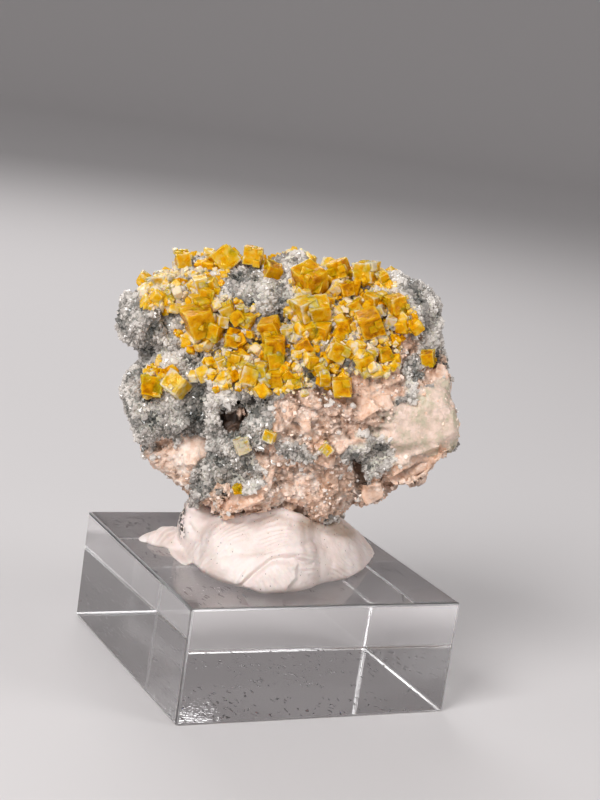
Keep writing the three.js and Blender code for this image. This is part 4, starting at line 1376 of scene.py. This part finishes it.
# %% [markdown]
# ## Clear block
# A cast acrylic block has flat polished faces and thin bevelled edges that shine. A cube primitive
# scaled to the solid's box and bevelled gives both. Its sides carry the fine upright streaks of
# polishing, and its underside the dark nicks of a long life on shelves. The nicks are stretched
# cells of a Voronoi texture, bent by noise so that no two are alike.

# %% Block shape
BLOCK_BEVEL = 0.25 * MM
low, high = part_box("acrylic_block")
block_shape = unit_cube()
bmesh.ops.scale(block_shape, vec=high - low, verts=block_shape.verts)
bmesh.ops.translate(block_shape, vec=(high + low) / 2, verts=block_shape.verts)
rounded = bevel(block_shape, block_shape.edges[:], BLOCK_BEVEL, 2)
block_shape.faces.index_update()
scuffed = np.zeros(len(block_shape.faces))
scuffed[[face.index for face in rounded]] = 1
block_mesh = mesh_of(block_shape, "acrylic_block")
block_shape.free()
put_attribute(block_mesh, "edge", scuffed, "FACE")
print("block in mm:", [round(x / MM, 2) for x in high - low])

# %% Block material
EDGE_FROST = 0.35
NICK = (0.20, 0.17, 0.18, 1)
NICKED_SHARE = 0.3
NICKED_AREA = 0.56
NICK_REACH = 0.28
UNDERSIDE_REACH = 0.05 * MM
POLISH_DEPTH = 0.006 * MM
NICK_BEND = 3.5 * MM
NICK_BEND_SIZE = 4.0 * MM
NICK_CELL_HEIGHT = 9.0 * MM
# turn, length and width
NICK_KINDS = [(0.3, 2.0, 0.4), (1.2, 1.8, 0.36), (2.0, 1.9, 0.4)]
CLEAR = (0.985, 0.97, 0.975, 1)


def stretched(material, kind, sizes, turn=0.0, bend=0.0):
    where = place_on(material)
    if bend:
        bends = add_node(material, "TexNoise", Vector=where, Scale=1 / NICK_BEND_SIZE).outputs["Color"]
        where = maths(material, "MULTIPLY_ADD", bends, (bend, bend, 0), where, kind="VectorMath")
    scale = [1 / size for size in sizes]
    mapped = add_node(material, "Mapping", Vector=where, Scale=scale, Rotation=(0, 0, turn))
    return add_node(material, "Tex" + kind, Vector=mapped.outputs[0], Scale=1.0)


block_finish, block_shader = start_material("clear_acrylic")
height = add_node(block_finish, "SeparateXYZ", Vector=place_on(block_finish)).outputs["Z"]
underside = below(block_finish, height, UNDERSIDE_REACH)
crowded = below(block_finish, grain(block_finish, 9 * MM, 2.0), NICKED_AREA)
nicks = 0.0
for turn, length, width in NICK_KINDS:
    sizes = (width * MM, length * MM, NICK_CELL_HEIGHT)
    cells = stretched(block_finish, "Voronoi", sizes, turn, NICK_BEND)
    dashes = below(block_finish, cells.outputs["Distance"], NICK_REACH)
    chosen = below(block_finish, cells.outputs["Color"], NICKED_SHARE)
    nicks = maths(block_finish, "MAXIMUM", nicks, maths(block_finish, "MULTIPLY", dashes, chosen))
for area in (crowded, underside):
    nicks = maths(block_finish, "MULTIPLY", nicks, area)
frost = maths(block_finish, "MULTIPLY", attribute(block_finish, "edge"), EDGE_FROST)
set_sockets(block_shader, {
    "Base Color": mix_colour(block_finish, nicks, CLEAR, NICK),
    "Roughness": maths(block_finish, "MAXIMUM", frost, nicks),
    "Transmission Weight": 1.0,
    "IOR": 1.49,
})
streaks = stretched(block_finish, "Noise", (0.5 * MM, 0.5 * MM, 7.0 * MM)).outputs[0]
add_bump(block_finish, streaks, POLISH_DEPTH)
block = new_piece("clear_block", block_mesh, block_finish)
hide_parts("acrylic_block")

# %% [markdown]
# ## Floor and light
# A pale floor and four large soft lights: the key above and to the left, a fill at the right, one low
# at the left for the undersides and one behind for the skyline, with an even pale room round them.

# %% Lights
# place, size and power of each; all face the stone
LIGHTS = {
    "key": ((-0.28, -0.16, 0.28), 0.18, 1.45),
    "fill": ((0.27, -0.24, 0.16), 0.20, 0.55),
    "low": ((-0.26, -0.24, 0.05), 0.20, 0.28),
    "back": ((0.05, 0.30, 0.25), 0.20, 0.5),
}
for name, (place, size, power) in LIGHTS.items():
    light = add_object(name, bpy.data.lights.new(name, "AREA"))
    light.data.size = size
    light.data.energy = power
    light.location = place
    aim = stone_frame.translation - Vector(place)
    light.rotation_euler = aim.to_track_quat("-Z", "Y").to_euler()
print("lights:", len(LIGHTS))

# %% Floor
FLOOR_REACH = 0.7
SWEEP = 0.3
WALL_HEIGHT = 0.2
FLOOR_DROP = 0.02 * MM

floor_shape = bmesh.new()
edge = [floor_shape.verts.new((0, 0, 0)), floor_shape.verts.new((FLOOR_REACH, 0, 0))]
floor_shape.edges.new(edge)
rim = bmesh.ops.spin(
    floor_shape, geom=[edge[1]], cent=(FLOOR_REACH, 0, SWEEP), axis=(0, -1, 0),
    dvec=(0, 0, 0), angle=pi / 2, steps=12,
)
wall = bmesh.ops.extrude_vert_indiv(floor_shape, verts=[rim["geom_last"][0]])["verts"]
bmesh.ops.translate(floor_shape, verts=wall, vec=(0, 0, WALL_HEIGHT))
bmesh.ops.spin(
    floor_shape, geom=floor_shape.verts[:] + floor_shape.edges[:], cent=(0, 0, 0), axis=(0, 0, 1),
    dvec=(0, 0, 0), angle=2 * pi, steps=96, use_merge=True,
)
bmesh.ops.remove_doubles(floor_shape, verts=floor_shape.verts, dist=0.01 * MM)
bmesh.ops.recalc_face_normals(floor_shape, faces=floor_shape.faces)
bmesh.ops.translate(floor_shape, vec=(0, 0, -FLOOR_DROP), verts=floor_shape.verts)
floor_mesh = mesh_of(floor_shape, "floor")
floor_shape.free()
floor_mesh.shade_smooth()
floor_finish, floor_shader = start_material("floor")
set_sockets(floor_shader, {"Base Color": (0.60, 0.575, 0.575, 1), "Roughness": 0.8})
floor_mesh.materials.append(floor_finish)
floor = add_object("floor", floor_mesh)
floor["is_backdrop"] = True

# %% Room
world = bpy.data.worlds.new("room")
world.use_nodes = True
set_sockets(world.node_tree.nodes["Background"], {"Color": (0.80, 0.79, 0.80, 1), "Strength": 0.38})
bpy.context.scene.world = world
bpy.context.scene.view_settings.view_transform = "Standard"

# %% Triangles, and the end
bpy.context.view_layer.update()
triangles = {}
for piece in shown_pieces():
    piece.data.calc_loop_triangles()
    triangles[piece.name] = len(piece.data.loop_triangles)
print("triangles:", sum(triangles.values()), "largest:", max(triangles.values()))
